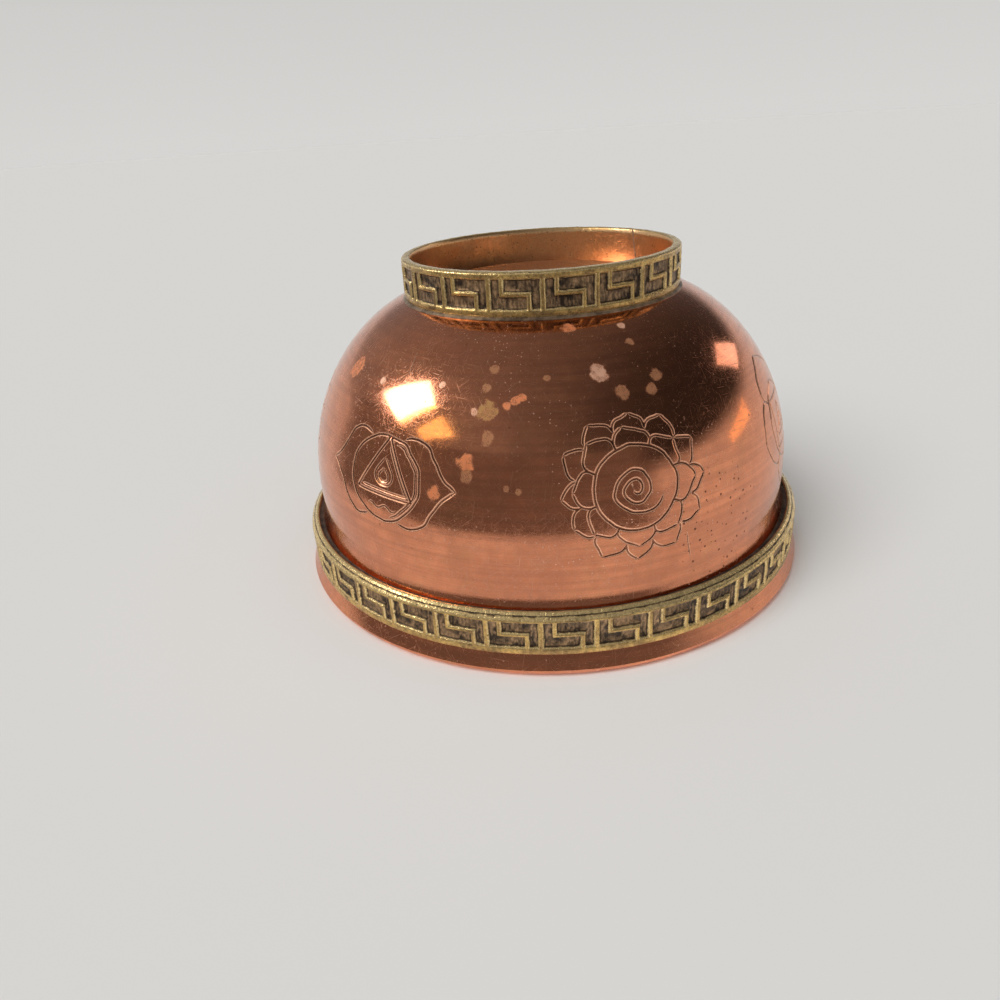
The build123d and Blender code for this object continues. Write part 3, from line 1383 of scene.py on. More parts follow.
@dataclass
class Shell:
    """The vertices and faces of a round shell as they are added."""

    columns: int
    vertices: list[tuple[float, float, float, float]] = field(default_factory=list)
    faces: list[tuple[int, ...]] = field(default_factory=list)

    def add(self, turn: float, length: float, depth: float = 0.0, share: float = 0.0) -> int:
        """Add a vertex.

        Args:
            turn: Its angle from the seam.
            length: Its length along the section.
            depth: Depth of the engraving there.
            share: That depth's share of the line's full depth.

        Returns:
            The vertex's number.
        """
        self.vertices.append((turn, length, depth, share))
        return len(self.vertices) - 1

    def ring(self, length: float) -> int:
        """Add a ring of vertices and return the number of its first."""
        return [self.add(tau * column / self.columns, length) for column in range(self.columns)][0]

    def join(self, rings: Sequence[int]) -> None:
        """Join each ring to the next with faces.

        Args:
            rings: Number of the first vertex of each ring, in order.
        """
        for first, second in zip(rings, rings[1:]):
            for column in range(self.columns):
                after = (column + 1) % self.columns
                self.faces.append((first + column, first + after, second + after, second + column))


@dataclass
class EngravedBowl:
    """The spun copper shell with its seven engraved motifs."""

    finish: CopperFinish
    lip_radius: float = 38.0
    height: float = 44.4
    wall: float = 1.0
    base_z: float = 4.2
    base_radius: float = 12.0
    belly_radius: float = 35.0
    belly_z: float = 30.4
    neck_radius: float = 34.93
    neck_z: float = 33.4
    seat_radius: float = 36.15
    seat_z: float = 37.4
    shoulder_z: float = 41.6
    shoulder_radius: float = 37.0
    lip_round: float = 0.95
    motif_z: float = 22.1
    belt_low_z: float = 6.6
    belt_high_z: float = 33.2
    seam_angle: float = 72.0
    seam_keys: int = 16
    columns: int = 288
    flat_rings: int = 9
    under_rings: int = 21
    upper_rings: tuple[int, ...] = (3, 8, 2, 2, 4, 14, 69)
    wobble: float = 0.03
    wobble_size: float = 11.0
    sharp_angle: float = 10.0

    def side(self, inset: float, steps: int, end: Point, flare_steps: int) -> list[Point]:
        """One face of the wall's section, from the axis up to the end of its flare.

        Args:
            inset: How far the face lies inside the outer one.
            steps: Number of points along its body.
            end: Where its flare ends.
            flare_steps: Number of points along the flare.

        Returns:
            The line's points.
        """
        line = [(0.0, self.base_z + inset)]
        reach = (self.belly_radius - self.base_radius - inset, self.belly_z - self.base_z - inset)
        line += ellipse_points((self.base_radius, self.belly_z), reach, -pi / 2, 0, steps)
        neck, heading = tangent_arc(line[-1], (0, 1), (self.neck_radius - inset, self.neck_z), steps=60)
        flare, _ = tangent_arc(neck[-1], heading, end, flare_steps)
        return line + neck[1:] + flare[1:]

    def contour(self) -> Contour:
        """Draw the whole section.

        Returns:
            Its line, from the axis under the base, over the lip, to the axis inside.
        """
        outside = self.side(0.0, 600, (self.seat_radius, self.seat_z), flare_steps=40)
        outside += [(self.seat_radius, self.shoulder_z), (self.shoulder_radius, self.shoulder_z)]
        centre = (self.lip_radius - self.lip_round, self.height - self.lip_round)
        lip = ellipse_points(centre, (self.lip_round, self.lip_round), 0, pi, 41)
        inside = self.side(self.wall, 400, lip[-1], flare_steps=60)
        return Contour(outside + lip + inside[-2::-1])

    def rows(self, contour: Contour, belt: tuple[float, float]) -> tuple[list[float], list[float]]:
        """Choose where rings of vertices go.

        Args:
            contour: The section.
            belt: Lengths along it where the engraved belt starts and ends.

        Returns:
            Lengths of the rings up to the belt's lower edge, and of those from its upper edge on.
        """
        flat_end = float(np.interp(self.base_radius, contour.radius[:2], contour.length[:2]))
        lower = spread(0, flat_end, self.flat_rings) + spread(flat_end, belt[0], self.under_rings)
        corners = [contour.length_at(z) for z in (self.neck_z, self.seat_z, self.shoulder_z)]
        shoulder_end = corners[-1] + self.shoulder_radius - self.seat_radius
        lip_start = contour.length_at(self.height - self.lip_round)
        lip_end = 2 * contour.length_at(self.height) - lip_start
        total = float(contour.length[-1])
        floor_start = total - self.base_radius
        bounds = [belt[1], *corners, shoulder_end, lip_start, lip_end, floor_start]
        upper = [belt[1]]
        for start, end, count in zip(bounds, bounds[1:], self.upper_rings):
            upper += spread(start, end, count)
        return lower, upper + spread(floor_start, total, self.flat_rings)[:-1]

    def engraved_belt(self, contour: Contour) -> EngravedSurface:
        """Draw all the engraved lines on the belt of the outside that holds them.

        Args:
            contour: The section.

        Returns:
            The belt.
        """
        low, high = (contour.length_at(z) for z in (self.belt_low_z, self.belt_high_z))
        belt = EngravedSurface(contour, low, high, self.seam_angle, self.columns)
        middle = contour.length_at(self.motif_z)
        for lotus in motifs():
            for stroke in lotus.strokes():
                belt.engrave(stroke, lotus.angle, middle)
        for angle, stroke in self.marks():
            belt.engrave(stroke, angle, middle)
        return belt

    def fill_belt(self, shell: Shell, belt: EngravedSurface, low_ring: int, high_ring: int) -> None:
        """Add the engraved belt between the rings at its edges.

        Args:
            shell: The shell so far.
            belt: The belt.
            low_ring: First vertex of the ring at its lower edge.
            high_ring: First vertex of the ring at its upper edge.
        """
        places, cuts, triangles = belt.triangulate()
        width = tau * belt.unroll_radius
        numbers: list[int] = []
        at_seam: dict[int, int] = {}
        for (round_it, along), cut in zip(places, cuts):
            column = round(round_it / width * self.columns) % self.columns
            on_seam = min(round_it, width - round_it) < NEAR
            key = round(along / belt.row_step * self.seam_keys)
            if abs(along - belt.low) < NEAR:
                number = low_ring + column
            elif abs(along - belt.high) < NEAR:
                number = high_ring + column
            elif on_seam and key in at_seam:
                number = at_seam[key]
            else:
                number = shell.add(0.0 if on_seam else round_it / belt.unroll_radius, along, *cut)
                if on_seam:
                    at_seam[key] = number
            numbers.append(number)
        shell.faces += [tuple(numbers[corner] for corner in triangle) for triangle in triangles]

    def build(self) -> bpy.types.Object:
        """Make the shell's mesh, engraved on the outside.

        Returns:
            The finished piece.
        """
        contour = self.contour()
        belt = self.engraved_belt(contour)
        shell = Shell(self.columns)
        lower, upper = self.rows(contour, (belt.low, belt.high))
        lower_rings = [shell.ring(length) for length in lower]
        upper_rings = [shell.ring(length) for length in upper]
        shell.join(lower_rings)
        shell.join(upper_rings)
        under = shell.add(0.0, 0.0)
        inside = shell.add(0.0, float(contour.length[-1]))
        for column in range(self.columns):
            after = (column + 1) % self.columns
            shell.faces.append((under, lower_rings[0] + after, lower_rings[0] + column))
            shell.faces.append((inside, upper_rings[-1] + column, upper_rings[-1] + after))
        self.fill_belt(shell, belt, lower_rings[-1], upper_rings[0])

        turns, lengths, depths, shares = np.array(shell.vertices).T
        points = self.points(contour, turns, lengths, depths)
        mesh = make_mesh("engraved_bowl", points, shell.faces, self.sharp_angle)
        store_values(mesh, GROOVE, shares)
        self.lay_map(mesh, turns, lengths)
        mesh.materials.append(replace(self.finish, stains=self.stains(contour)).material())
        return make_piece("engraved_bowl", mesh, Slot.COPPER, "bowl")

    def points(
        self, contour: Contour, turns: np.ndarray, lengths: np.ndarray, depths: np.ndarray
    ) -> np.ndarray:
        """Place the vertices round the axis, sunk where engraved and slightly wavy from the spinning.

        Args:
            contour: The section.
            turns: Angle of each vertex from the seam.
            lengths: Length along the section of each vertex.
            depths: Depth of the engraving at each vertex.

        Returns:
            The vertices' places.
        """
        radius, height, face_r, face_z = contour.at(lengths)
        angles = turns + radians(self.seam_angle)
        shift = -depths
        for index, (r, z, angle) in enumerate(zip(radius, height, angles)):
            place = Vector((r * cos(angle), r * sin(angle), z)) / self.wobble_size
            shift[index] += self.wobble * noise.noise(place) * min(1.0, r / self.base_radius)
        radius = radius + face_r * shift
        height = height + face_z * shift
        return np.column_stack([radius * np.cos(angles), radius * np.sin(angles), height])

    def lay_map(self, mesh: bpy.types.Mesh, turns: np.ndarray, lengths: np.ndarray) -> None:
        """Map the surface by millimetres round the belly and along the section.

        Args:
            mesh: The shell's mesh.
            turns: Angle of each vertex from the seam.
            lengths: Length along the section of each vertex.
        """
        layer = mesh.uv_layers.new(name=TURNED_MAP)
        flat = np.zeros(len(mesh.loops) * 2)
        for face in mesh.polygons:
            corners = list(face.vertices)
            angles = turns[corners]
            if angles.max() - angles.min() > pi:
                angles = np.where(angles < pi, angles + tau, angles)
            for loop, angle, vertex in zip(face.loop_indices, angles, corners):
                flat[2 * loop] = angle * self.belly_radius
                flat[2 * loop + 1] = lengths[vertex]
        layer.data.foreach_set("uv", flat)

    def stains(self, contour: Contour) -> tuple[Stain, ...]:
        """Stains on the outside: place round the bowl, height, radius and tone.

        Args:
            contour: The section.

        Returns:
            The stains, placed on the surface.
        """
        marks = (
            (-30.5, 11.8, 1.65, Tone.ORANGE),
            (-81.5, 12.9, 0.55, Tone.ORANGE),
            (-83.3, 12.5, 0.60, Tone.ORANGE),
            (-85.1, 12.1, 0.50, Tone.ORANGE),
            (-98.4, 6.3, 0.95, Tone.ORANGE),
            (-73.3, 18.7, 1.10, Tone.ORANGE),
            (-67.0, 22.5, 0.95, Tone.ORANGE),
            (-103.3, 10.3, 1.2, Tone.PALE),
            (-115.5, 6.7, 0.55, Tone.PALE),
            (-64.5, 11.3, 0.45, Tone.PALE),
            (-45.4, 12.0, 0.55, Tone.PALE),
            (-74.1, 13.6, 0.50, Tone.PALE),
            (-77.5, 9.6, 0.62, Tone.TAN),
            (-76.1, 11.3, 0.58, Tone.TAN),
            (-90.7, 10.5, 0.45, Tone.TAN),
            (-73.7, 20.1, 0.80, Tone.TAN),
            (-77.9, 16.0, 0.85, Tone.TAN),
            (-82.0, 21.2, 0.42, Tone.TAN),
            (-84.3, 21.5, 0.42, Tone.TAN),
            (-107.8, 12.3, 0.90, Tone.TAN),
            (-114.7, 8.1, 0.60, Tone.TAN),
            (-115.2, 12.5, 0.75, Tone.TAN),
            (-117.4, 11.3, 0.80, Tone.TAN),
            (-77.1, 13.5, 1.25, Tone.OLIVE),
        )
        placed = []
        for angle, height, radius, tone in marks:
            reach = float(contour.at(contour.length_at(height))[0])
            turn = radians(angle)
            placed.append(Stain(Vector((reach * cos(turn), reach * sin(turn), height)), radius, tone))
        return tuple(placed)

    def marks(self) -> Iterable[tuple[float, Stroke]]:
        """Scratches that stand out from the rest, each with its place round the bowl."""
        yield -118.3, Stroke(((0.4, 6.6), (0.1, 8.6), (-0.4, 10.6)), width=0.24, depth=0.05, taper=0.8)
        yield -52.7, Stroke(((0.3, -16.6), (-0.4, -13.0)), width=0.2, depth=0.04, taper=1.5)


@dataclass(frozen=True)
class Fret:
    """One repeat of the stamped key fret, seen flat."""

    length: float
    height: float = 3.55
    depth: float = 0.45
    bar: float = 0.65
    ridge: float = 0.55
    step_share: float = 0.25
    soft_out: float = 0.19
    soft_in: float = 0.2

    def channel_distance(self, x: float, y: float) -> float:
        """How far a point lies inside the sunk channels.

        Args:
            x: Place along the strip from the middle of a bar.
            y: Height from the middle of the fret.

        Returns:
            Distance to the channel's edge, negative on raised metal.
        """
        left = self.bar / 2
        corner = self.step_share * self.length - self.ridge / 2
        right = (1 - self.step_share) * self.length - self.ridge / 2
        half = self.height / 2
        best = -half
        for px, py in ((x, y), (self.length - x, -y)):
            upright = min(px - left, corner - px, py + half, half - py)
            along = min(px - left, right - px, py + half, -self.ridge / 2 - py)
            best = max(best, upright, along)
        return best

    def sunk(self, x: float, y: float) -> float:
        """How deep a point is stamped, with the soft edges that stamping leaves.

        Args:
            x: Place along the strip from the middle of a bar.
            y: Height from the middle of the fret.

        Returns:
            Share of the full depth.
        """
        share = (self.channel_distance(x, y) + self.soft_out) / (self.soft_out + self.soft_in)
        share = min(max(share, 0.0), 1.0)
        return share * share * (3 - 2 * share)

    def columns(self) -> list[float]:
        """Choose places along the strip for vertices, close together at the channels' edges.

        Returns:
            The places in order.
        """
        quarter = self.step_share * self.length
        edges = [self.bar / 2, quarter - self.ridge / 2, quarter + self.ridge / 2]
        edges += [self.length - edge for edge in edges]
        return spread_lines(0.0, self.length, edges)

    def rows(self, low: float, high: float) -> list[float]:
        """Heights from the fret's middle for vertices, close together at the channels' edges."""
        edges = [-self.height / 2, -self.ridge / 2, self.ridge / 2, self.height / 2]
        return spread_lines(low, high, edges)


def spread_lines(
    low: float,
    high: float,
    edges: Sequence[float],
    shifts: Sequence[float] = (-0.18, -0.06, 0.06, 0.18),
    margin: float = 0.03,
    gap: float = 0.32,
    slack: float = 0.05,
) -> list[float]:
    """Choose places between two ends, with several at each edge and others between them.

    Args:
        low: First place.
        high: Last place.
        edges: Places where the surface bends.
        shifts: Where places go about each edge.
        margin: How near to an end a place about an edge may be.
        gap: Widest space between two places.
        slack: Share of a gap by which a space may be wider.

    Returns:
        The places in order.
    """
    near = sorted(edge + shift for edge in edges for shift in shifts)
    ordered = [low, *(value for value in near if low + margin < value < high - margin), high]
    filled = []
    for first, second in zip(ordered, ordered[1:]):
        parts = max(1, ceil((second - first) / gap - slack))
        filled += [first + (second - first) * part / parts for part in range(parts)]
    return filled + [ordered[-1]]


class RingTree:
    """Geometry Nodes that bend one repeat of a strip, lay it round a ring and dent the ring slightly."""

    name = "strip_ring"
    sockets = (
        ("Geometry", "NodeSocketGeometry"),
        ("Repeats", "NodeSocketInt"),
        ("Radius", "NodeSocketFloat"),
        ("Start Angle", "NodeSocketFloat"),
        ("Unevenness", "NodeSocketFloat"),
        ("Material", "NodeSocketMaterial"),
    )
    weld = 2e-6
    dent_seed = 4.0
    dents_per_mm = 0.6
    dent_detail = 4.0
    noise_middle = (0.5, 0.5, 0.5)

    def tree(self) -> bpy.types.NodeTree:
        """Return the tree, and build it the first time."""
        return bpy.data.node_groups.get(self.name) or self.build()

    def build(self) -> bpy.types.NodeTree:
        """Build the tree: bend, repeat, realize, weld, dent and colour.

        Returns:
            The tree.
        """
        made = bpy.data.node_groups.new(self.name, "GeometryNodeTree")
        for label, kind in self.sockets:
            made.interface.new_socket(label, in_out="INPUT", socket_type=kind)
        made.interface.new_socket("Geometry", in_out="OUTPUT", socket_type="NodeSocketGeometry")
        sketch = Sketch(made)
        given = sketch.node("NodeGroupInput").outputs
        position = sketch.node("GeometryNodeInputPosition").outputs[0]
        place = sketch.node("ShaderNodeSeparateXYZ", {0: position}).outputs
        turn = sketch.math("DIVIDE", place["X"], given["Radius"])
        reach = sketch.math("ADD", place["Y"], given["Radius"])
        bent = sketch.node(
            "ShaderNodeCombineXYZ",
            {
                "X": sketch.times(reach, sketch.math("COSINE", turn)),
                "Y": sketch.times(reach, sketch.math("SINE", turn)),
                "Z": place["Z"],
            },
        )
        unit = sketch.node(
            "GeometryNodeSetPosition", {"Geometry": given["Geometry"], "Position": bent.outputs[0]}
        )
        points = sketch.node("GeometryNodePoints", {"Count": given["Repeats"]})
        step = sketch.math("DIVIDE", tau, given["Repeats"])
        index = sketch.node("GeometryNodeInputIndex").outputs[0]
        angle = sketch.math("MULTIPLY_ADD", index, step, given["Start Angle"])
        rotation = sketch.node("ShaderNodeCombineXYZ", {"Z": angle})
        ring = sketch.node(
            "GeometryNodeInstanceOnPoints",
            {"Points": points.outputs[0], "Instance": unit.outputs[0], "Rotation": rotation.outputs[0]},
        )
        real = sketch.node("GeometryNodeRealizeInstances", {"Geometry": ring.outputs["Instances"]})
        welded = sketch.node(
            "GeometryNodeMergeByDistance", {"Geometry": real.outputs[0], "Distance": self.weld}
        )
        dents = sketch.node(
            "ShaderNodeTexNoise",
            {
                "Vector": position,
                "W": self.dent_seed,
                "Scale": self.dents_per_mm / MM,
                "Detail": self.dent_detail,
            },
            noise_dimensions="4D",
        )
        centred = sketch.vector("SUBTRACT", dents.outputs["Color"], self.noise_middle)
        offset = sketch.node(
            "ShaderNodeVectorMath",
            {0: centred.outputs["Vector"], "Scale": given["Unevenness"]},
            operation="SCALE",
        )
        dented = sketch.node(
            "GeometryNodeSetPosition", {"Geometry": welded.outputs[0], "Offset": offset.outputs["Vector"]}
        )
        smooth = sketch.node("GeometryNodeSetShadeSmooth", {"Geometry": dented.outputs[0]})
        coloured = sketch.node(
            "GeometryNodeSetMaterial", {"Geometry": smooth.outputs[0], "Material": given["Material"]}
        )
        sketch.node("NodeGroupOutput", {"Geometry": coloured.outputs[0]})
        return made

    def apply(self, unit: bpy.types.Mesh, **values: Any) -> bpy.types.Mesh:
        """Run the tree on one repeat of a strip.

        Args:
            unit: Mesh of the repeat, flat, in metres.
            **values: Values for the tree's inputs.

        Returns:
            The ring as a plain mesh.
        """
        tree = self.tree()
        holder = bpy.data.objects.new(unit.name, unit)
        bpy.context.scene.collection.objects.link(holder)
        modifier = holder.modifiers.new(self.name, "NODES")
        modifier.node_group = tree
        named = titled(values)
        for item in tree.interface.items_tree:
            if item.in_out == "INPUT" and item.name in named:
                modifier[item.identifier] = named[item.name]
        graph = bpy.context.evaluated_depsgraph_get()
        made = bpy.data.meshes.new_from_object(
            holder.evaluated_get(graph), preserve_all_data_layers=True, depsgraph=graph
        )
        holder.modifiers.remove(modifier)
        bpy.data.objects.remove(holder)
        return made


RING = RingTree()


@dataclass
class FretStrip:
    """A ring of stamped brass strip.

    Its lower bevel is a line of shares of the bevel's depth, each with the share by which a scored line is
    sunk there. The relief that is stored along its section is 1 on the face. On the bevels and the edges it
    is set where the brass finish paints a highlight, and on the scored line where it paints shade.
    """

    name: str
    node: str
    finish: BrassFinish
    radius: float
    repeats: int
    start_angle: float
    fret_z: float
    bottom_z: float
    top_z: float
    bevel: Point
    top_bevel: Point = (0.18, 0.18)
    top_curve: Point = (0.35, 0.45)
    top_drop: float = 0.0
    thickness: float = 1.2
    unevenness: float = 0.14
    edge_round: float = 0.12
    bevel_foot: float = 0.03
    bevel_line: tuple[Point, ...] = (
        (0.1, 0.0), (0.3, 0.0), (0.42, 0.14), (0.5, 0.14), (0.62, 0.0), (0.84, 0.0)
    )
    back_steps: int = 8
    # Relief on the top edge, the bevel and the bottom edge, at which the brass finish paints a highlight.
    rubbed: float = 0.82
    # Relief on the bevel's scored line, at which the brass finish paints shade.
    scored: float = 0.25
    plain: float = 1.3
    sharp_angle: float = 60.0

    def fret(self) -> Fret:
        """The fret's repeat, sized to go round the ring a whole number of times."""
        return Fret(tau * self.radius / self.repeats)

    def section(self, fret: Fret) -> list[tuple[float, float, float | None]]:
        """The strip's section as a closed line, from the top of its face round to the top of its back.

        Args:
            fret: The fret on its face.

        Returns:
            Depth behind the face, height, and the relief there, or None where the fret is stamped.
        """
        depth, rise = self.bevel
        top_depth, top_rise = self.top_bevel
        low, back, rounded = self.bottom_z, -self.thickness, self.edge_round
        face = fret.rows(low + rise + rounded - self.fret_z, self.top_z - top_rise - self.fret_z)
        curve_depth, curve_rise = self.top_curve
        line: list[tuple[float, float, float | None]] = [
            (-top_depth, self.top_z, self.rubbed),
            (-curve_depth * top_depth, self.top_z - curve_rise * top_rise, self.rubbed),
        ]
        line += [(0.0, self.fret_z + y, None) for y in reversed(face)]
        for share, sunk in self.bevel_line:
            relief = self.scored if sunk else self.rubbed
            line.append((-(share + sunk) * depth, low + (1 - share - sunk) * rise, relief))
        line += [
            (-depth, low + self.bevel_foot, self.rubbed),
            (-depth - rounded, low, self.rubbed),
            (back + rounded, low, self.rubbed),
            (back, low + rounded, self.plain),
        ]
        height = self.top_z - self.top_drop - low - rounded
        for step in range(1, self.back_steps + 1):
            line.append((back, low + rounded + height * step / self.back_steps, self.plain))
        return line

    def unit(self) -> bpy.types.Mesh:
        """Make the mesh of one repeat, flat: along X, with its face towards +Y.

        Returns:
            The repeat's mesh, with the height of its relief stored on it.
        """
        fret = self.fret()
        section = self.section(fret)
        columns = fret.columns()
        points = []
        relief = []
        for x in columns:
            for back, z, given in section:
                sunk = fret.sunk(x, z - self.fret_z) if given is None else 0.0
                points.append((x, back - sunk * fret.depth, z))
                relief.append(1.0 - sunk if given is None else given)
        size = len(section)
        faces = []
        for first in range(0, (len(columns) - 1) * size, size):
            second = first + size
            for row in range(size):
                after = (row + 1) % size
                faces.append((first + row, first + after, second + after, second + row))
        mesh = make_mesh(self.name + "_repeat", points, faces, sharp_angle=180)
        store_values(mesh, RELIEF, relief)
        flat = mesh.uv_layers.new(name=TURNED_MAP)
        for loop in mesh.loops:
            flat.data[loop.index].uv = (points[loop.vertex_index][0], points[loop.vertex_index][2])
        return mesh

    def build(self) -> bpy.types.Object:
        """Lay the repeats round the ring.

        Returns:
            The finished piece.
        """
        material = self.finish.material()
        unit = self.unit()
        unit.materials.append(material)
        mesh = RING.apply(
            unit,
            repeats=self.repeats,
            radius=self.radius * MM,
            start_angle=radians(self.start_angle),
            unevenness=self.unevenness * MM,
            material=material,
        )
        mesh.name = self.name
        mesh.set_sharp_from_angle(angle=radians(self.sharp_angle))
        return make_piece(self.name, mesh, Slot.BRASS, self.node)


@dataclass
class SolderRun:
    """Solder that has run round a joint: a ring of uneven section."""

    name: str
    node: str
    finish: SolderFinish
    section: Sequence[Point]
    lumps: float
    lump_size: float = 1.6
    lump_rise: float = 0.5
    columns: int = 360

    def build(self) -> bpy.types.Object:
        """Turn the section about the axis and let its free face swell and sink.

        Returns:
            The finished piece.
        """
        points = []
        for column in range(self.columns):
            angle = tau * column / self.columns
            for radius, height in self.section:
                place = Vector((radius * cos(angle), radius * sin(angle), height)) / self.lump_size
                swell = self.lumps * noise.noise(place)
                reach = radius + swell
                points.append((reach * cos(angle), reach * sin(angle), height + self.lump_rise * swell))
        size = len(self.section)
        faces = []
        for column in range(self.columns):
            first = column * size
            second = (column + 1) % self.columns * size
            for row in range(size):
                after = (row + 1) % size
                faces.append((first + row, second + row, second + after, first + after))
        mesh = make_mesh(self.name, points, faces, sharp_angle=50)
        mesh.materials.append(self.finish.material())
        return make_piece(self.name, mesh, Slot.SOLDER, self.node)


@dataclass
class SeamSolder:
    """The thin line of solder in a strip's butt seam, which follows the strip's section."""

    name: str
    node: str
    finish: SolderFinish
    strip: FretStrip
    angle: float
    slant: float = 0.0
    width: float = 0.25
    proud: float = 0.035

    def build(self) -> bpy.types.Object:
        """Draw the strip's section at both sides of the seam and close it to a thin slab.

        Returns:
            The finished piece.
        """
        strip = self.strip
        fret = strip.fret()
        section = strip.section(fret)
        middle_depth = -strip.thickness / 2
        middle_z = (strip.bottom_z + strip.top_z) / 2
        points = []
        for side in (-0.5, 0.5):
            for back, z, given in section:
                angle = self.angle + self.slant * (z - strip.bottom_z)
                along = radians((angle - strip.start_angle) % 360) * strip.radius % fret.length
                sunk = fret.sunk(along, z - strip.fret_z) if given is None else 0.0
                depth = back - sunk * fret.depth
                depth += self.proud if depth > middle_depth else -self.proud
                rise = self.proud / 2 if z > middle_z else 0.0
                radius = strip.radius + depth
                turn = radians(angle) + side * self.width / strip.radius
                points.append((radius * cos(turn), radius * sin(turn), z + rise))
        size = len(section)
        faces = [tuple(range(size))[::-1], tuple(range(size, 2 * size))]
        faces += [(row, (row + 1) % size, size + (row + 1) % size, size + row) for row in range(size)]
        mesh = make_mesh(self.name, points, faces, sharp_angle=40)
        mesh.materials.append(self.finish.material())
        return make_piece(self.name, mesh, Slot.SOLDER, self.node)


# Studio


@dataclass(frozen=True)
class FloorFinish:
    """A plain pale floor that is seen from one side only."""

    name: str = "pale_floor"
    colour: Colour = (0.80, 0.79, 0.77)

    def material(self) -> bpy.types.Material:
        """Build the finish: matt in front, clear from behind.

        Returns:
            The material.
        """
        made, sketch = new_material(self.name)
        matt = sketch.node("ShaderNodeBsdfDiffuse", {"Color": (*self.colour, 1.0)})
        clear = sketch.node("ShaderNodeBsdfTransparent")
        facing = sketch.node("ShaderNodeNewGeometry").outputs["Backfacing"]
        mixed = sketch.node("ShaderNodeMixShader", {0: facing, 1: matt.outputs[0], 2: clear.outputs[0]})
        sketch.node("ShaderNodeOutputMaterial", {"Surface": mixed.outputs[0]})
        return made


@dataclass(frozen=True)
class GlowFinish:
    """An even glow, which can fade out towards the edges of its card."""

    name: str
    strength: float
    colour: Colour = (1.0, 0.98, 0.95)
    fade: float = 0.0

    def material(self) -> bpy.types.Material:
        """Build the finish, with a clear edge where it fades.

        Returns:
            The material.
        """
        made, sketch = new_material(self.name)
        inputs = {"Color": (*self.colour, 1.0), "Strength": self.strength}
        glow = sketch.node("ShaderNodeEmission", inputs).outputs[0]
        if self.fade:
            flat = sketch.node("ShaderNodeUVMap", uv_map=CARD_MAP).outputs["UV"]
            across = sketch.node("ShaderNodeSeparateXYZ", {0: flat}).outputs
            shown: Any = 1.0
            for axis in "XY":
                for start, end in ((0.0, self.fade), (1.0, 1.0 - self.fade)):
                    shown = sketch.times(sketch.ramp(across[axis], start, end), shown)
            clear = sketch.node("ShaderNodeBsdfTransparent").outputs[0]
            glow = sketch.node("ShaderNodeMixShader", {0: shown, 1: clear, 2: glow}).outputs[0]
        sketch.node("ShaderNodeOutputMaterial", {"Surface": glow})
        return made


@dataclass(frozen=True)
class Card:
    """A card or window pane between two lines of points, in metres, that only the metal mirrors."""

    finish: GlowFinish
    first: Sequence[Vector]
    second: Sequence[Vector]

    @classmethod
    def far(cls, finish: GlowFinish, *corners: Point, distance: float = 2.0) -> "Card":
        """Place a flat card far off.

        Args:
            finish: Its glow.
            *corners: Azimuth and elevation of its four corners in degrees, as the bowl sees them.
            distance: How far off it is, in metres.

        Returns:
            The card.
        """
        places = []
        for azimuth, elevation in corners:
            level = distance * cos(radians(elevation))
            turn = radians(azimuth)
            rise = distance * sin(radians(elevation))
            places.append(Vector((level * cos(turn), level * sin(turn), rise)))
        return cls(finish, places[:2], places[:1:-1])

    @classmethod
    def curved(cls, finish: GlowFinish, radius: float, span: Point, rise: Point, steps: int = 32) -> "Card":
        """Bend an upright card round the bowl's axis.

        Args:
            finish: Its glow.
            radius: Its distance from the axis in millimetres.
            span: Azimuths of its ends in degrees.
            rise: Heights of its edges in millimetres.
            steps: Number of points along each edge.

        Returns:
            The card.
        """
        turns = np.radians(np.linspace(*span, steps))
        low, high = ([Vector((radius * cos(t), radius * sin(t), z)) * MM for t in turns] for z in rise)
        return cls(finish, low, high)

    def build(self) -> None:
        """Add the card to the stage."""
        count = len(self.first)
        mesh = bpy.data.meshes.new(self.finish.name)
        faces = [(k, k + 1, count + k + 1, count + k) for k in range(count - 1)]
        mesh.from_pydata([*self.first, *self.second], [], faces)
        card_map = mesh.uv_layers.new(name=CARD_MAP)
        for loop in mesh.loops:
            line, place = divmod(loop.vertex_index, count)
            card_map.data[loop.index].uv = (place / (count - 1), line)
        mesh.materials.append(self.finish.material())
        card = bpy.data.objects.new(self.finish.name, mesh)
        card.visible_camera = card.visible_shadow = card.visible_diffuse = False
        bpy.context.scene.collection.objects.link(card)
        card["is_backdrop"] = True


@dataclass(frozen=True)
class Sun:
    """An even soft light for a floor, which the metal doesn't mirror: where it comes from and its spread."""

    name: str
    place: tuple[float, float, float]
    strength: float
    spread: float

    def build(self) -> None:
        """Add the light."""
        light = bpy.data.lights.new(self.name, "SUN")
        light.energy = self.strength
        light.angle = radians(self.spread)
        lamp = bpy.data.objects.new(self.name, light)
        lamp.rotation_euler = (-Vector(self.place)).to_track_quat("-Z", "Y").to_euler()
        lamp.visible_glossy = False
        bpy.context.scene.collection.objects.link(lamp)


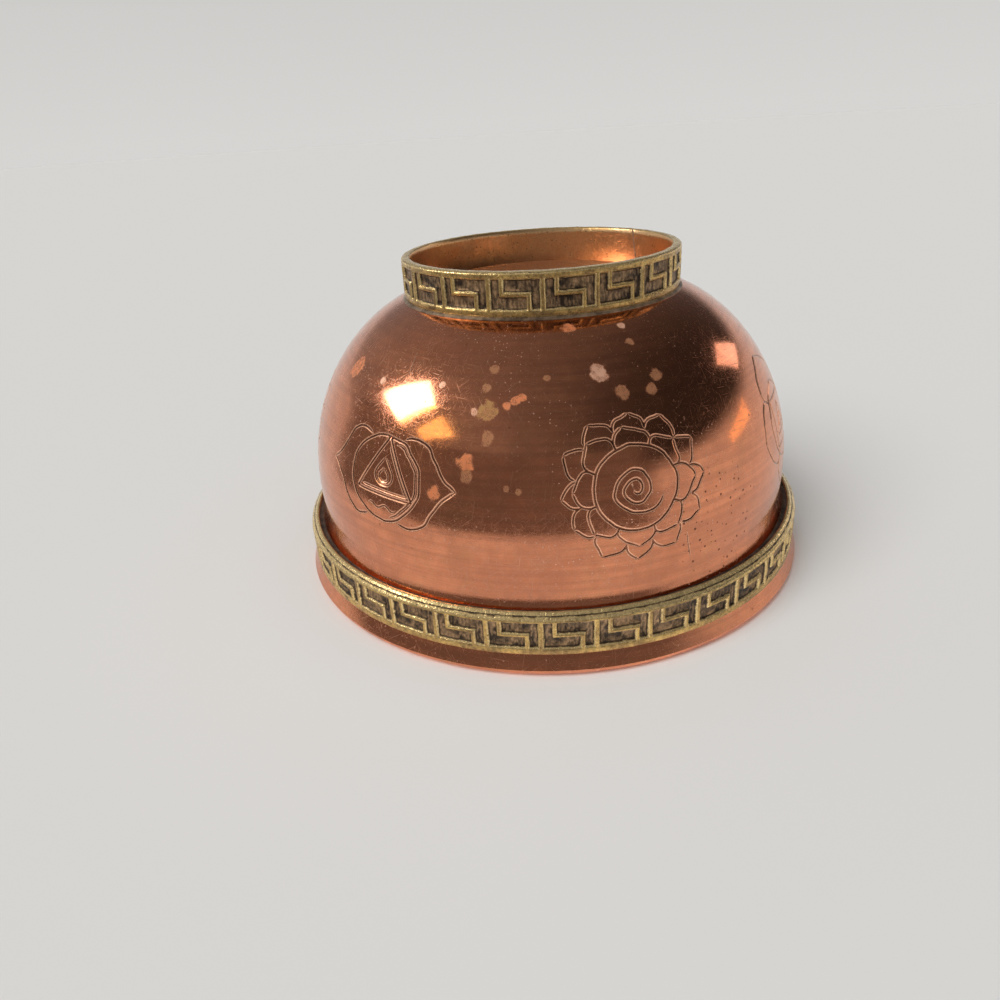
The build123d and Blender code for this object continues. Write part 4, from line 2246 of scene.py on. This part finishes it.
@dataclass(frozen=True)
class Studio:
    """Floor, lights, surroundings and camera.

    The camera looks at the bowl from under its foot and turned over, as the photograph shows the bowl. So
    there are two floors: one under the foot, and one across the mouth on which the upturned bowl stands.
    Each is seen only from the bowl's side of it. The room's levels go from straight down to straight up.
    """

    foot_floor_z: float = -0.1
    mouth_floor_z: float = 44.5
    mouth_radius: float = 36.9
    floor_rings: tuple[float, ...] = (0.15, 0.6, 4.0)
    floor_sides: int = 96
    camera_distance: float = 109.17
    camera_drop: float = 15.92
    pan: float = -0.072
    tilt: float = 0.468
    roll: float = -0.067
    lens: float = 27.0
    clip_start: float = 0.005
    cloth_radius: float = 88.0
    room_colour: Colour = (1.0, 0.985, 0.96)
    room_levels: tuple[Point, ...] = (
        (0.0, 0.255), (0.36, 0.265), (0.40, 0.34), (0.435, 0.62), (0.5, 0.673), (0.75, 0.65), (1.0, 0.55)
    )
    shade_depth: float = -1.02
    under_lift: float = 0.15

    def build(self) -> None:
        """Set up everything round the bowl."""
        finish = FloorFinish().material()
        self.floor("foot_floor", self.foot_floor_z, finish, hole=0.0, facing=1)
        self.floor("mouth_floor", self.mouth_floor_z, finish, hole=self.mouth_radius, facing=-1)
        for card in self.cards():
            card.build()
        Sun("mouth_floor_key", (0.5, -0.45, -0.75), strength=1.9, spread=40).build()
        Sun("mouth_floor_fill", (-0.2, -0.3, -1.0), strength=0.7, spread=90).build()
        Sun("foot_floor_key", (0.4, -0.5, 0.75), strength=0.5, spread=40).build()
        self.surroundings()
        self.camera()

    def cards(self) -> Iterable[Card]:
        """Set out the window panes and softbox that show in the metal, and a dim cloth round the front.

        Returns:
            The cards, one after another.
        """
        yellow, pink, amber = (1.0, 0.85, 0.4), (1.0, 0.85, 0.78), (1.0, 0.72, 0.45)
        yield Card.far(GlowFinish("window", 9.0), (13, -26), (-1, -47), (-19, -41), (-8, -24))
        sill = GlowFinish("window_sill", 4.0, yellow)
        yield Card.far(sill, (-8, -24), (-19, -41), (-22, -40), (-11, -23.5))
        pane = GlowFinish("lower_pane", 2.4, yellow)
        yield Card.far(pane, (-20, -26), (-28, -38), (-41, -31), (-26, -23.5))
        yield Card.far(GlowFinish("far_window", 1.8, pink), (144, -24), (136, -12), (149, -13), (157, -24))
        yield Card.far(GlowFinish("side_window", 1.6, amber), (160, -9), (160, -2), (178, -1), (178, -5))
        softbox = GlowFinish("top_softbox", 6.0)
        yield Card.far(softbox, (-80, 50), (-80, 75), (-170, 75), (-170, 50), distance=0.9)
        cloth = GlowFinish("dim_cloth", 0.18, (1.0, 0.93, 0.88), fade=0.1)
        yield Card.curved(cloth, self.cloth_radius, span=(-135, 12), rise=(self.mouth_floor_z, -14))

    def floor(self, name: str, height: float, finish: bpy.types.Material, hole: float, facing: int) -> None:
        """Add a floor, with a round hole where the bowl's mouth stands open.

        Args:
            name: Its name.
            height: Its height in millimetres.
            finish: Its material.
            hole: Radius of the hole in millimetres, or 0.
            facing: 1 to face up, -1 to face down.
        """
        count = self.floor_sides
        rings = (hole * MM, *self.floor_rings) if hole else self.floor_rings
        turns = [tau * k / count for k in range(count)]
        points = [(r * cos(turn), r * sin(turn), height * MM) for r in rings for turn in turns]
        faces = []
        for inner in range(0, (len(rings) - 1) * count, count):
            outer = inner + count
            for k in range(count):
                after = (k + 1) % count
                faces.append((inner + k, outer + k, outer + after, inner + after))
        if not hole:
            faces.append(tuple(range(count)))
        if facing < 0:
            faces = [face[::-1] for face in faces]
        mesh = bpy.data.meshes.new(name)
        mesh.from_pydata(points, [], faces)
        mesh.materials.append(finish)
        plane = bpy.data.objects.new(name, mesh)
        plane.visible_shadow = False
        plane.visible_glossy = plane.visible_diffuse = bool(hole)
        bpy.context.scene.collection.objects.link(plane)
        plane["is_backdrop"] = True

    def surroundings(self) -> None:
        """Make the room: pale at the horizon and over the mouth, dim under the foot."""
        world = bpy.data.worlds.new("room")
        bpy.context.scene.world = world
        world.use_nodes = True
        world.node_tree.nodes.clear()
        sketch = Sketch(world.node_tree)
        direction = sketch.node("ShaderNodeTexCoord").outputs["Generated"]
        along = sketch.node("ShaderNodeSeparateXYZ", {0: direction}).outputs
        share = sketch.math("MULTIPLY_ADD", along["Z"], 0.5, 0.5)
        under = sketch.ramp(share, low=0.42, high=0.36)
        shade = sketch.times(under, sketch.ramp(along["X"], low=0.9, high=-0.9))
        ramp = sketch.node("ShaderNodeValToRGB", {"Fac": share})
        stops = ramp.color_ramp.elements
        while len(stops) < len(self.room_levels):
            stops.new(0.5)
        for stop, (place, level) in zip(stops, self.room_levels):
            stop.position = place
            stop.color = (*(level * part for part in self.room_colour), 1.0)
        strength = sketch.add_shares(1.0, (under, self.under_lift), (shade, self.shade_depth))
        glow = sketch.node("ShaderNodeBackground", {"Color": ramp.outputs["Color"], "Strength": strength})
        sketch.node("ShaderNodeOutputWorld", {"Surface": glow.outputs[0]})

    def camera(self) -> None:
        """Place the camera where the photograph was taken from."""
        right = Vector((cos(self.pan), -sin(self.pan), 0))
        level = cos(self.tilt)
        ahead = Vector((sin(self.pan) * level, cos(self.pan) * level, -sin(self.tilt)))
        up = right.cross(ahead)
        level_right = right * cos(self.roll) + up * sin(self.roll)
        level_up = up * cos(self.roll) - right * sin(self.roll)
        turned = Matrix.Rotation(pi, 4, "Y")
        pose = Matrix((level_right, level_up, -ahead)).transposed().to_4x4()
        pose.translation = Vector((0, -self.camera_distance, self.camera_drop)) * MM
        lens = bpy.data.cameras.new("photo_camera")
        lens.lens = self.lens
        lens.clip_start = self.clip_start
        camera = bpy.data.objects.new("photo_camera", lens)
        camera.matrix_world = turned @ pose
        bpy.context.scene.collection.objects.link(camera)
        bpy.context.scene.camera = camera


def build_strips() -> tuple[FretStrip, FretStrip]:
    """Build the rim band and the foot ring.

    Returns:
        Both strips, whose sections the solder in their seams follows.
    """
    brass = BrassFinish()
    rim = FretStrip(
        name="rim_fret_band",
        node="rim_band",
        finish=brass,
        radius=37.35,
        repeats=35,
        start_angle=-87.8,
        fret_z=38.825,
        bottom_z=35.9,
        top_z=41.6,
        bevel=(0.85, 0.8),
    )
    foot = FretStrip(
        name="foot_fret_ring",
        node="foot_ring",
        finish=brass,
        radius=19.3,
        repeats=18,
        start_angle=-90.6,
        fret_z=2.675,
        bottom_z=0.0,
        top_z=5.5,
        bevel=(0.25, 0.25),
        top_bevel=(0.32, 0.5),
        top_drop=0.37,
    )
    rim.build()
    foot.build()
    return rim, foot


def build_solder(rim: FretStrip, foot: FretStrip) -> None:
    """Build the solder in the strips' seams, round the foot ring and behind the rim band.

    Args:
        rim: The rim band.
        foot: The foot ring.
    """
    dull = SolderFinish()
    SeamSolder("rim_seam_solder", "rim_band_seam_solder", dull, rim, angle=90.0).build()
    SeamSolder("foot_seam_solder", "foot_ring_seam_solder", dull, foot, angle=141.3, slant=0.6).build()
    # The fillet under the foot ring is tarnished solder, painted darker as shade in the crevice under the
    # ring.
    shade_darkened = SolderFinish("shade_darkened_solder", pale=(0.52, 0.38, 0.26), dark=(0.16, 0.11, 0.075))
    fillet = (
        (19.05, 5.65), (19.05, 5.34), (19.22, 5.3), (19.34, 5.36), (19.46, 5.46), (19.6, 5.58), (19.58, 5.7),
    )
    SolderRun("foot_solder_fillet", "foot_ring_solder", shade_darkened, fillet, lumps=0.04).build()
    # The run behind the rim band is painted near black: a painted shadow for the dark gap between band and
    # bowl.
    stained = SolderFinish("painted_shadow_solder", pale=(0.22, 0.14, 0.1), dark=(0.07, 0.045, 0.035))
    wedge = (
        (36.17, 36.4), (36.17, 37.4), (35.9, 37.2), (35.5, 36.7), (35.3, 36.2),
        (35.48, 36.3), (35.7, 36.42), (35.95, 36.44),
    )
    SolderRun("rim_solder_run", "rim_band_solder", stained, wedge, lumps=0.05).build()


def main() -> None:
    """Build and dress each piece, then the studio round them."""
    logging.basicConfig(level=logging.INFO, format="%(name)s: %(message)s")
    bpy.context.scene.view_settings.view_transform = "Standard"
    noise.seed_set(NOISE_SEED)
    EngravedBowl(CopperFinish()).build()
    rim, foot = build_strips()
    build_solder(rim, foot)
    Studio().build()
    boxes = {"cad": cad_box, "visual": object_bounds()}
    {key: [list(map(float, corner)) for corner in box] for key, box in boxes.items()}


if __name__ == "__main__":
    main()
